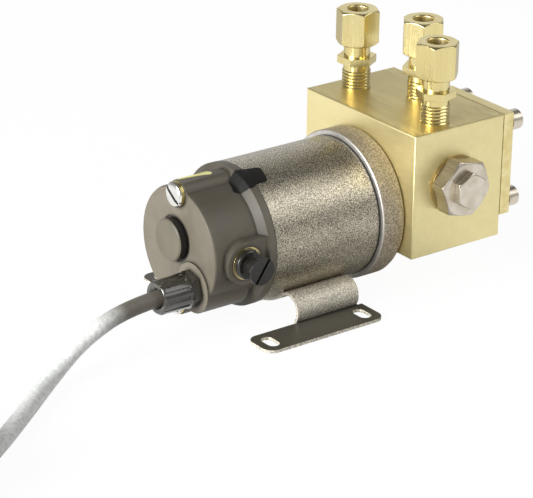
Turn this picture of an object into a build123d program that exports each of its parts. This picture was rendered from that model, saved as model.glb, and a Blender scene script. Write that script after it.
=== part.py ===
from build123d import *
import math
import os

# Reversible hydraulic pump with its own direct-current motor, fed by one cord.
# Millimetres. X runs along the motor, from the cord end to the pump block.
# Z is up, and the near side of the photograph is -Y. The origin is the centre
# of the four slots, on the underside of the feet.

os.makedirs("parts", exist_ok=True)

# Clearances
run_gap = 0.05
free_gap = 0.3

# Motor tube
tube_r = 34.5
tube_wall = 3.0
tube_rear_x = -16.9
tube_len = 61.6
tube_in_r = tube_r - tube_wall
tube_front_x = tube_rear_x + tube_len

# Mounting bracket, bent from one sheet
sheet_t = 1.6
cradle_lift = 2.6
axis_z = cradle_lift + sheet_t + tube_r
saddle_x0 = -4.4
saddle_x1 = 32.0
hump_r = 8.0
hump_y = 27.4
hump_z = axis_z - math.sqrt((tube_r + hump_r) ** 2 - hump_y**2)
foot_x = 34.45
foot_y0 = 34.7
foot_y1 = 53.2
foot_corner_r = 5.4
slot_x = 27.1
slot_y = 44.0
slot_len = 10.5
slot_w = 6.0

# End cover
band_len = 4.0
band_r = tube_r + 0.2
barrel_r = tube_r - 4.7
barrel_len = 31.8
shoulder_len = 2.5
cover_wall = 4.5
rear_wall = 2.0
cavity_r = barrel_r - 3.3
rear_fillet = 1.5
spigot_len = 4.0
band_x0 = tube_rear_x - band_len
cover_x0 = tube_rear_x - barrel_len
bolt_r = 2.5
bolt_head_r = 6.2
bolt_head_t = 3.5
bolt_bite = 8.0
bolt_spot = 0.4
rib_off = tube_in_r - bolt_r - 1.8
rib_r = 6.6
rib_flat = rib_off + 6.0
gland_out = barrel_r - 9.44
gland_angle = math.radians(40.42)
gland_y = -gland_out * math.sin(gland_angle)
gland_z = axis_z - gland_out * math.cos(gland_angle)
gland_boss_r = 12.3
gland_boss_len = 22.7
boss_proud = 1.0
gland_stub_r = 7.2
gland_stub_len = 5.0
gland_hex_af = 15.6
gland_hex_len = 4.5
gland_nut_len = 16.0
lead_hole_r = 2.6
cap_y = 1.8
cap_up = 4.2
cap_r = 10.3
cap_t = 4.7
cap_groove_w = 0.9
cap_groove_d = 0.6

# Brush holders
comm_r = 10.0
brush_x = cover_x0 + 15.8
pad_r = 10.6
pad_face = tube_r - 1.5
sleeve_in_y = comm_r + 7.0
sleeve_out_r = 8.0
sleeve_in_r = 7.3
sleeve_proud = 0.4
brush_start_y = comm_r - 1.0
brush_w = 8.0
brush_h = 6.0
brush_play = 0.1
cap_seat_y = pad_face - 5.0
brush_end_y = cap_seat_y - 7.0
brush_spring_r = 2.6
brush_spring_in_r = 1.8
cap_head_y = pad_face + 12.0
cap_head_r = sleeve_in_r - 0.5
flush_head_y = pad_face + 3.2

# Shaft, bearings and rotor
shaft_r = 4.0
rear_bearing_r = 8.0
rear_bearing_w = 5.0
front_bearing_r = 11.0
front_bearing_w = 7.0
seal_r = 9.0
seal_w = 5.5
magnet_t = 7.5
magnet_cut = 14.0
magnet_end_gap = 4.9
magnet_x0 = tube_rear_x + spigot_len + magnet_end_gap
magnet_x1 = tube_front_x - spigot_len - magnet_end_gap
air_gap = 1.2
core_inset = 4.0
core_r = tube_in_r - magnet_t - air_gap
core_x0 = magnet_x0 + core_inset
core_x1 = magnet_x1 - core_inset
core_len = core_x1 - core_x0
core_slots = 12
slot_deep = 5.2
slot_wide = 2.6
wire_r = core_r - 2.8
wire_in_r = 8.5
wire_len_rear = 12.0
wire_len_front = 6.0
comm_len = 15.6
comm_tail = 6.6
riser_len = 3.0
riser_up = 1.6

# Front flange
flange_r = tube_r + 2.5
flange_t = 13.4
block_x0 = tube_front_x + flange_t

# Pump block and gears
block_len = 55.5
block_w = 84.4
block_h = 63.0
axis_up = 18.0
block_z0 = axis_z - axis_up
block_z1 = block_z0 + block_h
block_x1 = block_x0 + block_len
edge_break = 0.4
gear_module = 1.5
gear_teeth = 11
gear_angle = 28.0
gear_backlash = 0.14
gear_width = 11.9
gear_pitch_r = gear_module * gear_teeth / 2
gear_tip_r = gear_pitch_r + gear_module
centre_gap = 2 * gear_pitch_r
idler_z = axis_z + centre_gap
mesh_z = axis_z + centre_gap / 2
chamber_r = gear_tip_r + run_gap
chamber_depth = gear_width + 2 * run_gap
bush_t = 3.5
bush_x0 = block_x0 + chamber_depth
bush_x1 = bush_x0 + bush_t
side_pocket_y = 15.0
side_pocket_h = 7.0
ring_in_y = side_pocket_y + 0.8
ring_in_z = centre_gap / 2 + chamber_r + 0.75
ring_w = 1.6
ring_t = 1.3
ring_corner_r = 10.0
flange_screw_y = tube_in_r - 7.5
flange_screw_up = 11.0
flange_screw_down = -9.0
flange_screw_r = 2.5
flange_screw_head_r = 4.25
flange_screw_head_t = 5.0
flange_screw_in = 12.0
pin_seat = 7.7

# Valve gallery across the block
gallery_in = 25.1
gallery_up = 34.15
gallery_x = block_x0 + gallery_in
gallery_z = block_z0 + gallery_up
gallery_r = 7.0
shuttle_half = 7.0
shuttle_travel = 1.5
block_y = block_w / 2
plug_in_y = block_y - 7.2
seat_y1 = plug_in_y - 11.0
seat_y0 = seat_y1 - 4.0
nose_end = seat_y0 - 0.6
nose_r = 1.6
seat_bore_r = 3.0
guide_len = 6.0
check_spring_r = 4.6
check_spring_in_r = 3.6
plug_thread_r = 10.0
plug_bore_r = 5.0
washer_t = 1.0
washer_r = 14.4
plug_hex_af = 26.5
plug_hex_len = 9.0
cap_hex_af = 16.5
cap_hex_len = 4.0
cap_stub = 3.2
plug_face = block_y + washer_t + plug_hex_len

# Tube fittings on the top of the block: x, y, turn of the nut, turn of the body
port_in = 21.5
port_side_in = 11.95
return_in = 17.6
port_x = block_x0 + port_in
port_y = block_y - port_side_in
return_x = block_x1 - return_in
fitting_thread_r = 6.6
fitting_thread_in = 10.0
fitting_stand = 12.7
fitting_hex_af = 17.0
fitting_hex_len = 3.8
fitting_neck_r = 6.5
fitting_neck_len = 6.1
nut_af = 19.0
nut_len = 17.7
fitted_tube_r = 5.05
fitting_bore_r = 4.0
way_r = 4.0
return_deep = 17.7

# Cover plate and relief valves
plate_t = 6.4
plate_w = 46.0
plate_h = 52.4
plate_y = -19.2
plate_z = block_z1 - plate_h / 2
plate_screw_y = 18.0
plate_screw_z = 20.0
plate_screw_in = 9.0
relief_pocket = 26.0
relief_depth = 10.0
relief_bore_r = 3.3
relief_ball_r = 3.2
relief_seat_r = 1.8
relief_bore_len = 6.6
relief_near_y = -15.0
relief_way_y = 15.0
relief_lead = 2.5
return_way_y = -7.4
return_way_r = 2.2
return_way_deep = 15.2
relief_far_y = -10.0
relief_near_z = plate_z - 5.0
relief_far_z = plate_z + 5.0
relief_spring_in_r = 2.0
relief_spring_r = 2.7
pocket_corner_r = 6.0
groove_gap = 1.2
groove_w = 1.8
groove_deep = 1.3
groove_in = relief_pocket + 2 * groove_gap
groove_out = groove_in + 2 * groove_w

# Cord
cord_r = 4.0
cord_in_x = -56.0
coil_turns = 3
coil_points = 12
coil_r = 44.0
coil_rise = 8.2
coil_height = coil_turns * coil_rise
tie_t = 0.6
sleeve_r = 4.4
sleeve_len = 12.0
lug_eye_x = 12.5
lug_t = 0.8
lead_r = 1.6
lead_gap = 2.1
lug_r = 1.9


def bore_x(x0, x1, y, z, r):
    """Cut a round hole along X."""
    with Locations(((x0 + x1) / 2, y, z)):
        Cylinder(r, x1 - x0, rotation=(0, 90, 0), mode=Mode.SUBTRACT)


def bore_y(y0, y1, x, z, r):
    """Cut a round hole along Y."""
    with Locations((x, (y0 + y1) / 2, z)):
        Cylinder(r, y1 - y0, rotation=(90, 0, 0), mode=Mode.SUBTRACT)


def bore_z(z0, z1, x, y, r):
    """Cut a round hole along Z."""
    with Locations((x, y, (z0 + z1) / 2)):
        Cylinder(r, z1 - z0, mode=Mode.SUBTRACT)


def rod_x(x0, x1, y, z, r):
    """Add a round bar along X."""
    with Locations(((x0 + x1) / 2, y, z)):
        Cylinder(r, x1 - x0, rotation=(0, 90, 0))


def rod_y(y0, y1, x, z, r):
    """Add a round bar along Y."""
    with Locations((x, (y0 + y1) / 2, z)):
        Cylinder(r, y1 - y0, rotation=(90, 0, 0))


def hex_r(across_flats):
    """Corner radius of a hexagon."""
    return across_flats / math.sqrt(3)


def gear_points(z_centre):
    """Involute tooth outline in the YZ plane with one tooth pointing up."""
    alpha = math.radians(gear_angle)
    base_r = gear_pitch_r * math.cos(alpha)
    root_r = gear_pitch_r - 1.25 * gear_module
    half_pitch = (math.pi * gear_module / 2 - gear_backlash) / (2 * gear_pitch_r)
    inv_pitch = math.tan(alpha) - alpha
    flank = []
    for step in range(5):
        r = base_r + (gear_tip_r - base_r) * step / 4
        a = math.acos(min(1.0, base_r / r))
        half = half_pitch + inv_pitch - (math.tan(a) - a)
        flank.append((r, half))
    points = []
    for tooth in range(gear_teeth):
        mid = math.pi / 2 + 2 * math.pi * tooth / gear_teeth
        points.append((root_r, mid - flank[0][1] - 0.02))
        for r, half in flank:
            points.append((r, mid - half))
        for r, half in reversed(flank):
            points.append((r, mid + half))
        points.append((root_r, mid + flank[0][1] + 0.02))
    return [(r * math.cos(a), z_centre + r * math.sin(a)) for r, a in points]


# Motor tube
with BuildPart() as motor_tube:
    with BuildSketch(Plane.YZ.offset(tube_rear_x)):
        with Locations((0, axis_z)):
            Circle(tube_r)
            Circle(tube_in_r, mode=Mode.SUBTRACT)
    extrude(amount=tube_len)

# End cover: one casting with two bolt ribs, a gland boss and two brush pads
with BuildPart() as end_cover:
    with BuildSketch(Plane.XZ):
        with BuildLine():
            Polyline(
                (cover_x0, axis_z),
                (cover_x0, axis_z + barrel_r - rear_fillet),
                (cover_x0 + 0.3 * rear_fillet, axis_z + barrel_r - 0.3 * rear_fillet),
                (cover_x0 + rear_fillet, axis_z + barrel_r),
                (band_x0 - shoulder_len, axis_z + barrel_r + 0.3),
                (band_x0, axis_z + band_r),
                (tube_rear_x, axis_z + band_r),
                (tube_rear_x, axis_z + tube_in_r),
                (tube_rear_x + spigot_len, axis_z + tube_in_r),
                (tube_rear_x + spigot_len, axis_z),
                close=True,
            )
        make_face()
    revolve(axis=Axis((0, 0, axis_z), (1, 0, 0)))
    rod_x(cover_x0 - boss_proud, cover_x0 + gland_boss_len, gland_y, gland_z, gland_boss_r)
    rod_y(-pad_face, pad_face, brush_x, axis_z, pad_r)
    with BuildSketch(Plane.YZ.offset(brush_x)):
        with Locations((0, axis_z)):
            Rectangle(2 * pad_face, 2 * pad_r)
    extrude(amount=band_x0 - brush_x)
    bore_x(cover_x0 + cover_wall, tube_rear_x + spigot_len, 0, axis_z, cavity_r)
    rod_x(cover_x0, band_x0, 0, axis_z + rib_off, rib_r)
    rod_x(cover_x0, band_x0, 0, axis_z - rib_off, rib_r)
    rod_x(cover_x0, cover_x0 + rear_wall + rear_bearing_w, 0, axis_z, rear_bearing_r + 4)
    rod_y(sleeve_in_y + 3, pad_face - 4, brush_x, axis_z, sleeve_out_r + 2)
    rod_y(4 - pad_face, -sleeve_in_y - 3, brush_x, axis_z, sleeve_out_r + 2)
    with BuildSketch(Plane.YZ.offset(cover_x0)):
        with Locations((0, axis_z + rib_flat + 2), (0, axis_z - rib_flat - 2)):
            Rectangle(12, 4)
    extrude(amount=band_x0 - shoulder_len - cover_x0 + 1, mode=Mode.SUBTRACT)
    bore_x(cover_x0, tube_rear_x + spigot_len, 0, axis_z + rib_off, bolt_r + 0.1)
    bore_x(cover_x0, tube_rear_x + spigot_len, 0, axis_z - rib_off, bolt_r + 0.1)
    bore_x(cover_x0 + rear_wall, cover_x0 + rear_wall + rear_bearing_w, 0, axis_z, rear_bearing_r)
    bore_x(
        cover_x0 - boss_proud - 1, cover_x0 + gland_stub_len, gland_y, gland_z, gland_stub_r
    )
    bore_x(cover_x0 - boss_proud - 1, cover_x0, 0, axis_z - rib_off, bolt_head_r + bolt_spot)
    bore_y(-pad_face - 1, pad_face + 1, brush_x, axis_z, sleeve_out_r)
    with BuildSketch(Plane.YZ.offset(cover_x0)):
        with Locations((cap_y, axis_z + cap_up)):
            Circle(cap_r + cap_groove_w)
            Circle(cap_r, mode=Mode.SUBTRACT)
    extrude(amount=cap_groove_d, mode=Mode.SUBTRACT)

# Rear dust cap over the shaft end
with BuildPart() as rear_cap:
    rod_x(cover_x0 - cap_t, cover_x0, cap_y, axis_z + cap_up, cap_r)
    chamfer(rear_cap.edges().sort_by(Axis.X)[0], length=0.7)

# Long bolts that hold cover, tube and flange together
with BuildPart() as through_bolts:
    for side in (1, -1):
        bolt_z = axis_z + side * rib_off
        rod_x(cover_x0, tube_front_x + bolt_bite, 0, bolt_z, bolt_r)
        with BuildSketch(Plane.XZ):
            with BuildLine():
                Polyline(
                    (cover_x0, bolt_z),
                    (cover_x0, bolt_z + bolt_head_r),
                    (cover_x0 - bolt_head_t + 1.5, bolt_z + bolt_head_r),
                    (cover_x0 - bolt_head_t + 0.5, bolt_z + bolt_head_r - 0.8),
                    (cover_x0 - bolt_head_t, bolt_z + bolt_head_r - 2.6),
                    (cover_x0 - bolt_head_t, bolt_z),
                    close=True,
                )
            make_face()
        revolve(axis=Axis((0, 0, bolt_z), (1, 0, 0)))
        with Locations(Location((cover_x0 - bolt_head_t, 0, bolt_z), (35, 0, 0))):
            Box(3.0, 14.0, 1.5, mode=Mode.SUBTRACT)

# Brush holders: brass sleeves, carbon brushes, springs and slotted caps
with BuildPart() as brush_sleeves:
    for side in (1, -1):
        y0, y1 = sorted((side * sleeve_in_y, side * (pad_face + sleeve_proud)))
        rod_y(y0, y1, brush_x, axis_z, sleeve_out_r)
        y0, y1 = sorted((side * cap_seat_y, side * (pad_face + sleeve_proud)))
        bore_y(y0, y1, brush_x, axis_z, sleeve_in_r)
        with Locations((brush_x, side * (sleeve_in_y + cap_seat_y) / 2, axis_z)):
            Box(brush_w + brush_play, cap_seat_y - sleeve_in_y, brush_h + brush_play, mode=Mode.SUBTRACT)

with BuildPart() as carbon_brushes:
    brush_mid = (brush_start_y + brush_end_y) / 2
    with Locations((brush_x, brush_mid, axis_z), (brush_x, -brush_mid, axis_z)):
        Box(brush_w, brush_end_y - brush_start_y, brush_h)
    bore_x(brush_x - brush_w, brush_x + brush_w, 0, axis_z, comm_r + run_gap)

with BuildPart() as brush_springs:
    for side in (1, -1):
        y0, y1 = sorted((side * brush_end_y, side * cap_seat_y))
        rod_y(y0, y1, brush_x, axis_z, brush_spring_r)
        bore_y(y0, y1, brush_x, axis_z, brush_spring_in_r)

with BuildPart() as brush_caps:
    for side, head_y in ((-1, cap_head_y), (1, flush_head_y)):
        with BuildSketch(Plane.XY.offset(axis_z)):
            with BuildLine():
                Polyline(
                    (brush_x, side * cap_seat_y),
                    (brush_x + sleeve_in_r, side * cap_seat_y),
                    (brush_x + sleeve_in_r, side * (flush_head_y - 0.8)),
                    (brush_x + sleeve_in_r - 0.8, side * flush_head_y),
                    (brush_x, side * flush_head_y),
                    close=True,
                )
            make_face()
            if head_y > flush_head_y:
                with BuildLine():
                    Polyline(
                        (brush_x, side * (flush_head_y - 1.0)),
                        (brush_x + cap_head_r - 2.6, side * (flush_head_y - 1.0)),
                        (brush_x + cap_head_r - 2.0, side * (head_y - 2.8)),
                        (brush_x + cap_head_r, side * (head_y - 1.6)),
                        (brush_x + cap_head_r, side * head_y),
                        (brush_x, side * head_y),
                        close=True,
                    )
                make_face()
        revolve(axis=Axis((brush_x, 0, axis_z), (0, 1, 0)))
        with Locations(Location((brush_x + 0.5, side * head_y, axis_z), (0, -56, 0))):
            Box(2.5 * sleeve_in_r, 3.0, 1.4, mode=Mode.SUBTRACT)

# Magnets, glued inside the tube on both sides
with BuildPart() as magnets:
    with BuildSketch(Plane.YZ.offset(magnet_x0)):
        with Locations((0, axis_z)):
            Circle(tube_in_r)
            Circle(tube_in_r - magnet_t, mode=Mode.SUBTRACT)
            Rectangle(2 * magnet_cut, 3 * tube_r, mode=Mode.SUBTRACT)
    extrude(amount=magnet_x1 - magnet_x0)

# Rotor
with BuildPart() as armature_core:
    with BuildSketch(Plane.YZ.offset(core_x0)):
        with Locations((0, axis_z)):
            Circle(core_r)
            Circle(shaft_r, mode=Mode.SUBTRACT)
            with PolarLocations(core_r - slot_deep / 2, core_slots):
                Rectangle(slot_deep, slot_wide, mode=Mode.SUBTRACT)
    extrude(amount=core_len)

with BuildPart() as armature_windings:
    with BuildSketch(Plane.YZ.offset(core_x0 - wire_len_rear)):
        with Locations((0, axis_z)):
            Circle(wire_r)
            Circle(wire_in_r, mode=Mode.SUBTRACT)
    extrude(amount=wire_len_rear)
    with BuildSketch(Plane.YZ.offset(core_x0 + core_len)):
        with Locations((0, axis_z)):
            Circle(wire_r)
            Circle(wire_in_r, mode=Mode.SUBTRACT)
    extrude(amount=wire_len_front)
    with BuildSketch(Plane.YZ.offset(core_x0)):
        with Locations((0, axis_z)):
            with PolarLocations(core_r - slot_deep / 2 - 1.0, core_slots):
                Rectangle(slot_deep - 2.0, slot_wide)
    extrude(amount=core_len)
    chamfer(armature_windings.edges().filter_by(GeomType.CIRCLE).sort_by(Axis.X)[0], 2.0)

with BuildPart() as commutator:
    riser_x = brush_x - comm_tail + comm_len
    rod_x(brush_x - comm_tail, riser_x, 0, axis_z, comm_r)
    rod_x(riser_x, riser_x + riser_len, 0, axis_z, comm_r + riser_up)
    bore_x(brush_x - comm_tail, riser_x + riser_len, 0, axis_z, shaft_r)

with BuildPart() as motor_shaft:
    rod_x(cover_x0 + rear_wall + free_gap, bush_x1 - free_gap, 0, axis_z, shaft_r)
    chamfer(motor_shaft.edges().filter_by(GeomType.CIRCLE), 0.4)

with BuildPart() as rear_bearing:
    bearing_end = cover_x0 + rear_wall + rear_bearing_w
    rod_x(cover_x0 + rear_wall, bearing_end, 0, axis_z, rear_bearing_r)
    bore_x(cover_x0 + rear_wall, bearing_end, 0, axis_z, shaft_r + run_gap)

# Front flange, with the front bearing, shaft seal and idler pin seats
bearing_x0 = tube_front_x - spigot_len
seal_x0 = bearing_x0 + front_bearing_w
with BuildPart() as front_flange:
    with BuildSketch(Plane.XZ):
        with BuildLine():
            Polyline(
                (bearing_x0, axis_z),
                (bearing_x0, axis_z + tube_in_r),
                (tube_front_x, axis_z + tube_in_r),
                (tube_front_x, axis_z + flange_r - 0.5),
                (tube_front_x + 0.5, axis_z + flange_r),
                (block_x0 - 1.8, axis_z + flange_r),
                (block_x0 - 0.6, axis_z + flange_r - 0.5),
                (block_x0, axis_z + flange_r - 1.6),
                (block_x0, axis_z),
                close=True,
            )
        make_face()
    revolve(axis=Axis((0, 0, axis_z), (1, 0, 0)))
    bore_x(bearing_x0, seal_x0, 0, axis_z, front_bearing_r)
    bore_x(seal_x0, seal_x0 + seal_w, 0, axis_z, seal_r)
    bore_x(seal_x0, block_x0, 0, axis_z, shaft_r + run_gap)
    bore_x(block_x0 - pin_seat, block_x0, 0, idler_z, shaft_r)
    for side in (1, -1):
        bore_x(bearing_x0, tube_front_x + bolt_bite, 0, axis_z + side * rib_off, bolt_r)
        for up in (flange_screw_up, flange_screw_down):
            screw_y = side * flange_screw_y
            head_end = bearing_x0 + flange_screw_head_t
            bore_x(bearing_x0, head_end, screw_y, axis_z + up, flange_screw_head_r + 0.15)
            bore_x(bearing_x0, block_x0, screw_y, axis_z + up, flange_screw_r + 0.1)
    with BuildSketch(Plane.YZ.offset(block_x0)):
        with Locations((0, mesh_z)):
            RectangleRounded(2 * (ring_in_y + ring_w), 2 * (ring_in_z + ring_w), ring_corner_r + ring_w)
            RectangleRounded(2 * ring_in_y, 2 * ring_in_z, ring_corner_r, mode=Mode.SUBTRACT)
    extrude(amount=-ring_t, mode=Mode.SUBTRACT)

with BuildPart() as front_bearing:
    rod_x(bearing_x0, seal_x0, 0, axis_z, front_bearing_r)
    bore_x(bearing_x0, seal_x0, 0, axis_z, shaft_r + run_gap)

with BuildPart() as shaft_seal:
    rod_x(seal_x0, seal_x0 + seal_w, 0, axis_z, seal_r)
    bore_x(seal_x0, seal_x0 + seal_w, 0, axis_z, shaft_r + run_gap)

with BuildPart() as flange_seal:
    with BuildSketch(Plane.YZ.offset(block_x0)):
        with Locations((0, mesh_z)):
            RectangleRounded(2 * (ring_in_y + ring_w), 2 * (ring_in_z + ring_w), ring_corner_r + ring_w)
            RectangleRounded(2 * ring_in_y, 2 * ring_in_z, ring_corner_r, mode=Mode.SUBTRACT)
    extrude(amount=-ring_t)

with BuildPart() as flange_screws:
    for side in (1, -1):
        for up in (flange_screw_up, flange_screw_down):
            screw_y = side * flange_screw_y
            head_end = bearing_x0 + flange_screw_head_t
            rod_x(bearing_x0, head_end, screw_y, axis_z + up, flange_screw_head_r)
            rod_x(head_end, block_x0 + flange_screw_in, screw_y, axis_z + up, flange_screw_r)
            with BuildSketch(Plane.YZ.offset(bearing_x0)):
                with Locations((side * flange_screw_y, axis_z + up)):
                    RegularPolygon(hex_r(4.0), 6)
            extrude(amount=2.5, mode=Mode.SUBTRACT)

# Mounting bracket
hump_in_r = hump_r - sheet_t
tilt = math.asin((hump_z - sheet_t) / hump_r)
tangent = math.atan2(axis_z - hump_z, -hump_y)
fold_out = (hump_y + hump_r * math.cos(tilt), sheet_t)
fold_in = (hump_y + hump_in_r * math.cos(tilt), hump_z - hump_in_r * math.sin(tilt))


def hump_point(radius, angle, side):
    """Point on the folded side of the bracket."""
    return (side * (hump_y + radius * math.cos(angle)), hump_z + radius * math.sin(angle))


def cradle_point(radius, angle, side):
    """Point on the cradle around the tube."""
    return (side * radius * math.cos(angle), axis_z + radius * math.sin(angle))


under = tangent - math.pi
cradle_mid = (under - math.pi / 2) / 2
with BuildPart() as mounting_bracket:
    with BuildSketch(Plane.YZ.offset(saddle_x0)):
        for side in (1, -1):
            with BuildLine():
                c1 = ThreePointArc(
                    (0, axis_z - tube_r),
                    cradle_point(tube_r, cradle_mid, side),
                    cradle_point(tube_r, under, side),
                )
                mid = (tangent - tilt) / 2
                c2 = ThreePointArc(
                    c1 @ 1,
                    hump_point(hump_r, mid, side),
                    (side * fold_out[0], fold_out[1]),
                )
                c3 = Polyline(
                    c2 @ 1,
                    (side * (foot_y0 + 1), sheet_t),
                    (side * (foot_y0 + 1), 0),
                    (side * (fold_in[0] + 1.0), 0),
                    (side * (fold_in[0] - 0.35), 0.9),
                    (side * fold_in[0], fold_in[1]),
                )
                c4 = ThreePointArc(
                    c3 @ 1,
                    hump_point(hump_in_r, mid, side),
                    hump_point(hump_in_r, tangent, side),
                )
                c5 = ThreePointArc(
                    c4 @ 1,
                    cradle_point(tube_r + sheet_t, cradle_mid, side),
                    (0, axis_z - tube_r - sheet_t),
                )
                Line(c5 @ 1, c1 @ 0)
            make_face()
    extrude(amount=saddle_x1 - saddle_x0)
    with BuildSketch(Plane.XY):
        for side in (1, -1):
            with Locations((0, side * (foot_y0 + foot_y1) / 2)):
                RectangleRounded(2 * foot_x, foot_y1 - foot_y0, foot_corner_r)
            with Locations((saddle_x0 + (foot_x - saddle_x0) / 2, side * (foot_y0 + 3))):
                Rectangle(foot_x - saddle_x0, 6)
        with Locations(
            (slot_x, slot_y), (-slot_x, slot_y), (slot_x, -slot_y), (-slot_x, -slot_y)
        ):
            SlotOverall(slot_len, slot_w, rotation=90, mode=Mode.SUBTRACT)
    extrude(amount=sheet_t)

# Gear pair, idler pin and the bush plate behind them
with BuildPart() as drive_gear:
    with BuildSketch(Plane.YZ.offset(block_x0 + run_gap)):
        with BuildLine():
            Polyline(*gear_points(axis_z), close=True)
        make_face()
        with Locations((0, axis_z)):
            Circle(shaft_r, mode=Mode.SUBTRACT)
    extrude(amount=gear_width)

with BuildPart() as driven_gear:
    with BuildSketch(Plane.YZ.offset(block_x0 + run_gap)):
        with BuildLine():
            Polyline(*gear_points(idler_z), close=True)
        make_face()
        with Locations((0, idler_z)):
            Circle(shaft_r + run_gap, mode=Mode.SUBTRACT)
    extrude(amount=gear_width)

with BuildPart() as idler_pin:
    rod_x(block_x0 - pin_seat, bush_x1 - free_gap, 0, idler_z, shaft_r)

with BuildPart() as bush_plate:
    with BuildSketch(Plane.YZ.offset(bush_x0)):
        with Locations((0, axis_z), (0, idler_z)):
            Circle(chamber_r)
        with Locations((0, axis_z)):
            Circle(shaft_r + run_gap, mode=Mode.SUBTRACT)
        with Locations((0, idler_z)):
            Circle(shaft_r, mode=Mode.SUBTRACT)
    extrude(amount=bush_t)

# Pump block, machined from one brass bar
with BuildPart() as pump_block:
    with BuildSketch(Plane.YZ.offset(block_x0)):
        with Locations((0, block_z0 + block_h / 2)):
            Rectangle(block_w, block_h)
    extrude(amount=block_len)
    chamfer(pump_block.edges(), length=edge_break)
    with BuildSketch(Plane.YZ.offset(block_x0)):
        with Locations((0, axis_z), (0, idler_z)):
            Circle(chamber_r)
        with Locations((0, mesh_z)):
            SlotOverall(2 * side_pocket_y, side_pocket_h)
    extrude(amount=chamber_depth, mode=Mode.SUBTRACT)
    with BuildSketch(Plane.YZ.offset(block_x0)):
        with Locations((0, axis_z), (0, idler_z)):
            Circle(chamber_r)
    extrude(amount=chamber_depth + bush_t, mode=Mode.SUBTRACT)
    bore_y(-block_y, block_y, gallery_x, gallery_z, gallery_r)
    for side in (1, -1):
        y0, y1 = sorted((side * plug_in_y, side * block_y))
        bore_y(y0, y1, gallery_x, gallery_z, plug_thread_r)
        bore_x(block_x0, gallery_x, side * 11.5, gallery_z - 4.35, 2.5)
        bore_z(block_z1 - fitting_thread_in, block_z1, port_x, side * port_y, fitting_thread_r)
        bore_z(gallery_z, block_z1, port_x, side * port_y, way_r)
        for up in (flange_screw_up, flange_screw_down):
            bore_x(
                block_x0, block_x0 + flange_screw_in,
                side * flange_screw_y, axis_z + up, flange_screw_r,
            )
    bore_z(block_z1 - fitting_thread_in, block_z1, return_x, 0, fitting_thread_r)
    bore_z(block_z1 - return_deep, block_z1, return_x, 0, way_r)
    with BuildSketch(Plane.YZ.offset(block_x1)):
        with Locations((plate_y, plate_z)):
            RectangleRounded(relief_pocket, relief_pocket, pocket_corner_r)
    extrude(amount=-relief_depth, mode=Mode.SUBTRACT)
    with BuildSketch(Plane.YZ.offset(block_x1)):
        with Locations((plate_y, plate_z)):
            RectangleRounded(groove_out, groove_out, pocket_corner_r + groove_gap + groove_w)
            RectangleRounded(groove_in, groove_in, pocket_corner_r + groove_gap, mode=Mode.SUBTRACT)
    extrude(amount=-groove_deep, mode=Mode.SUBTRACT)
    relief_x1 = block_x1 - relief_depth
    relief_x0 = relief_x1 - relief_bore_len
    bore_x(return_x, relief_x1 + 1, return_way_y, block_z1 - return_way_deep, return_way_r)
    bore_y(return_way_y, 0, return_x, block_z1 - return_way_deep, return_way_r)
    for y, z, end_y in (
        (relief_near_y, relief_near_z, -relief_way_y),
        (relief_far_y, relief_far_z, relief_way_y),
    ):
        bore_x(relief_x0, relief_x1, y, z, relief_bore_r)
        bore_x(relief_x0 - relief_lead, relief_x0 + 1, y, z, relief_seat_r)
        way_turn = Vector(relief_x0 - relief_lead, y, z)
        way_end = Vector(gallery_x + 4.3, end_y, gallery_z + 1.5)
        with BuildSketch(Plane(origin=way_turn, z_dir=way_end - way_turn)):
            Circle(relief_seat_r)
        extrude(amount=(way_end - way_turn).length, mode=Mode.SUBTRACT)
    for sy in (1, -1):
        for sz in (1, -1):
            bore_x(
                block_x1 - plate_screw_in - 1.0, block_x1,
                plate_y + sy * plate_screw_y, plate_z + sz * plate_screw_z, 3.0,
            )

# Valve gear in the gallery
with BuildPart() as shuttle_piston:
    rod_y(-shuttle_half, shuttle_half, gallery_x, gallery_z, gallery_r - run_gap)
    rod_y(-nose_end, nose_end, gallery_x, gallery_z, nose_r)

with BuildPart() as valve_seats:
    for side in (1, -1):
        y0, y1 = sorted((side * seat_y0, side * seat_y1))
        rod_y(y0, y1, gallery_x, gallery_z, gallery_r)
        bore_y(y0, y1, gallery_x, gallery_z, seat_bore_r)


spring_y0 = plug_in_y + 0.5 + guide_len
spring_y1 = plug_face - cap_stub


def poppet_outline(side):
    """Half section of a check poppet: stem, cone, waist and guide."""
    profile = [
        (0.0, seat_y0 + 1.0),
        (1.5, seat_y0 + 1.0),
        (1.5, seat_y1 - 0.8),
        (seat_bore_r - 0.02, seat_y1),
        (5.0, seat_y1 + 1.7),
        (3.0, seat_y1 + 2.6),
        (3.0, plug_in_y + 0.5),
        (plug_bore_r - run_gap, plug_in_y + 0.5),
        (plug_bore_r - run_gap, spring_y0),
        (0.0, spring_y0),
    ]
    return [(gallery_x + r, side * y) for r, y in profile]


with BuildPart() as check_poppet_near:
    with BuildSketch(Plane.XY.offset(gallery_z)):
        with BuildLine():
            Polyline(*poppet_outline(-1), close=True)
        make_face()
    revolve(axis=Axis((gallery_x, 0, gallery_z), (0, 1, 0)))

with BuildPart() as check_poppet_far:
    with BuildSketch(Plane.XY.offset(gallery_z)):
        with BuildLine():
            Polyline(*poppet_outline(1), close=True)
        make_face()
    revolve(axis=Axis((gallery_x, 0, gallery_z), (0, 1, 0)))

with BuildPart() as check_spring_near:
    rod_y(-spring_y1, -spring_y0, gallery_x, gallery_z, check_spring_r)
    bore_y(-spring_y1, -spring_y0, gallery_x, gallery_z, check_spring_in_r)

with BuildPart() as check_spring_far:
    rod_y(spring_y0, spring_y1, gallery_x, gallery_z, check_spring_r)
    bore_y(spring_y0, spring_y1, gallery_x, gallery_z, check_spring_in_r)

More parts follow.
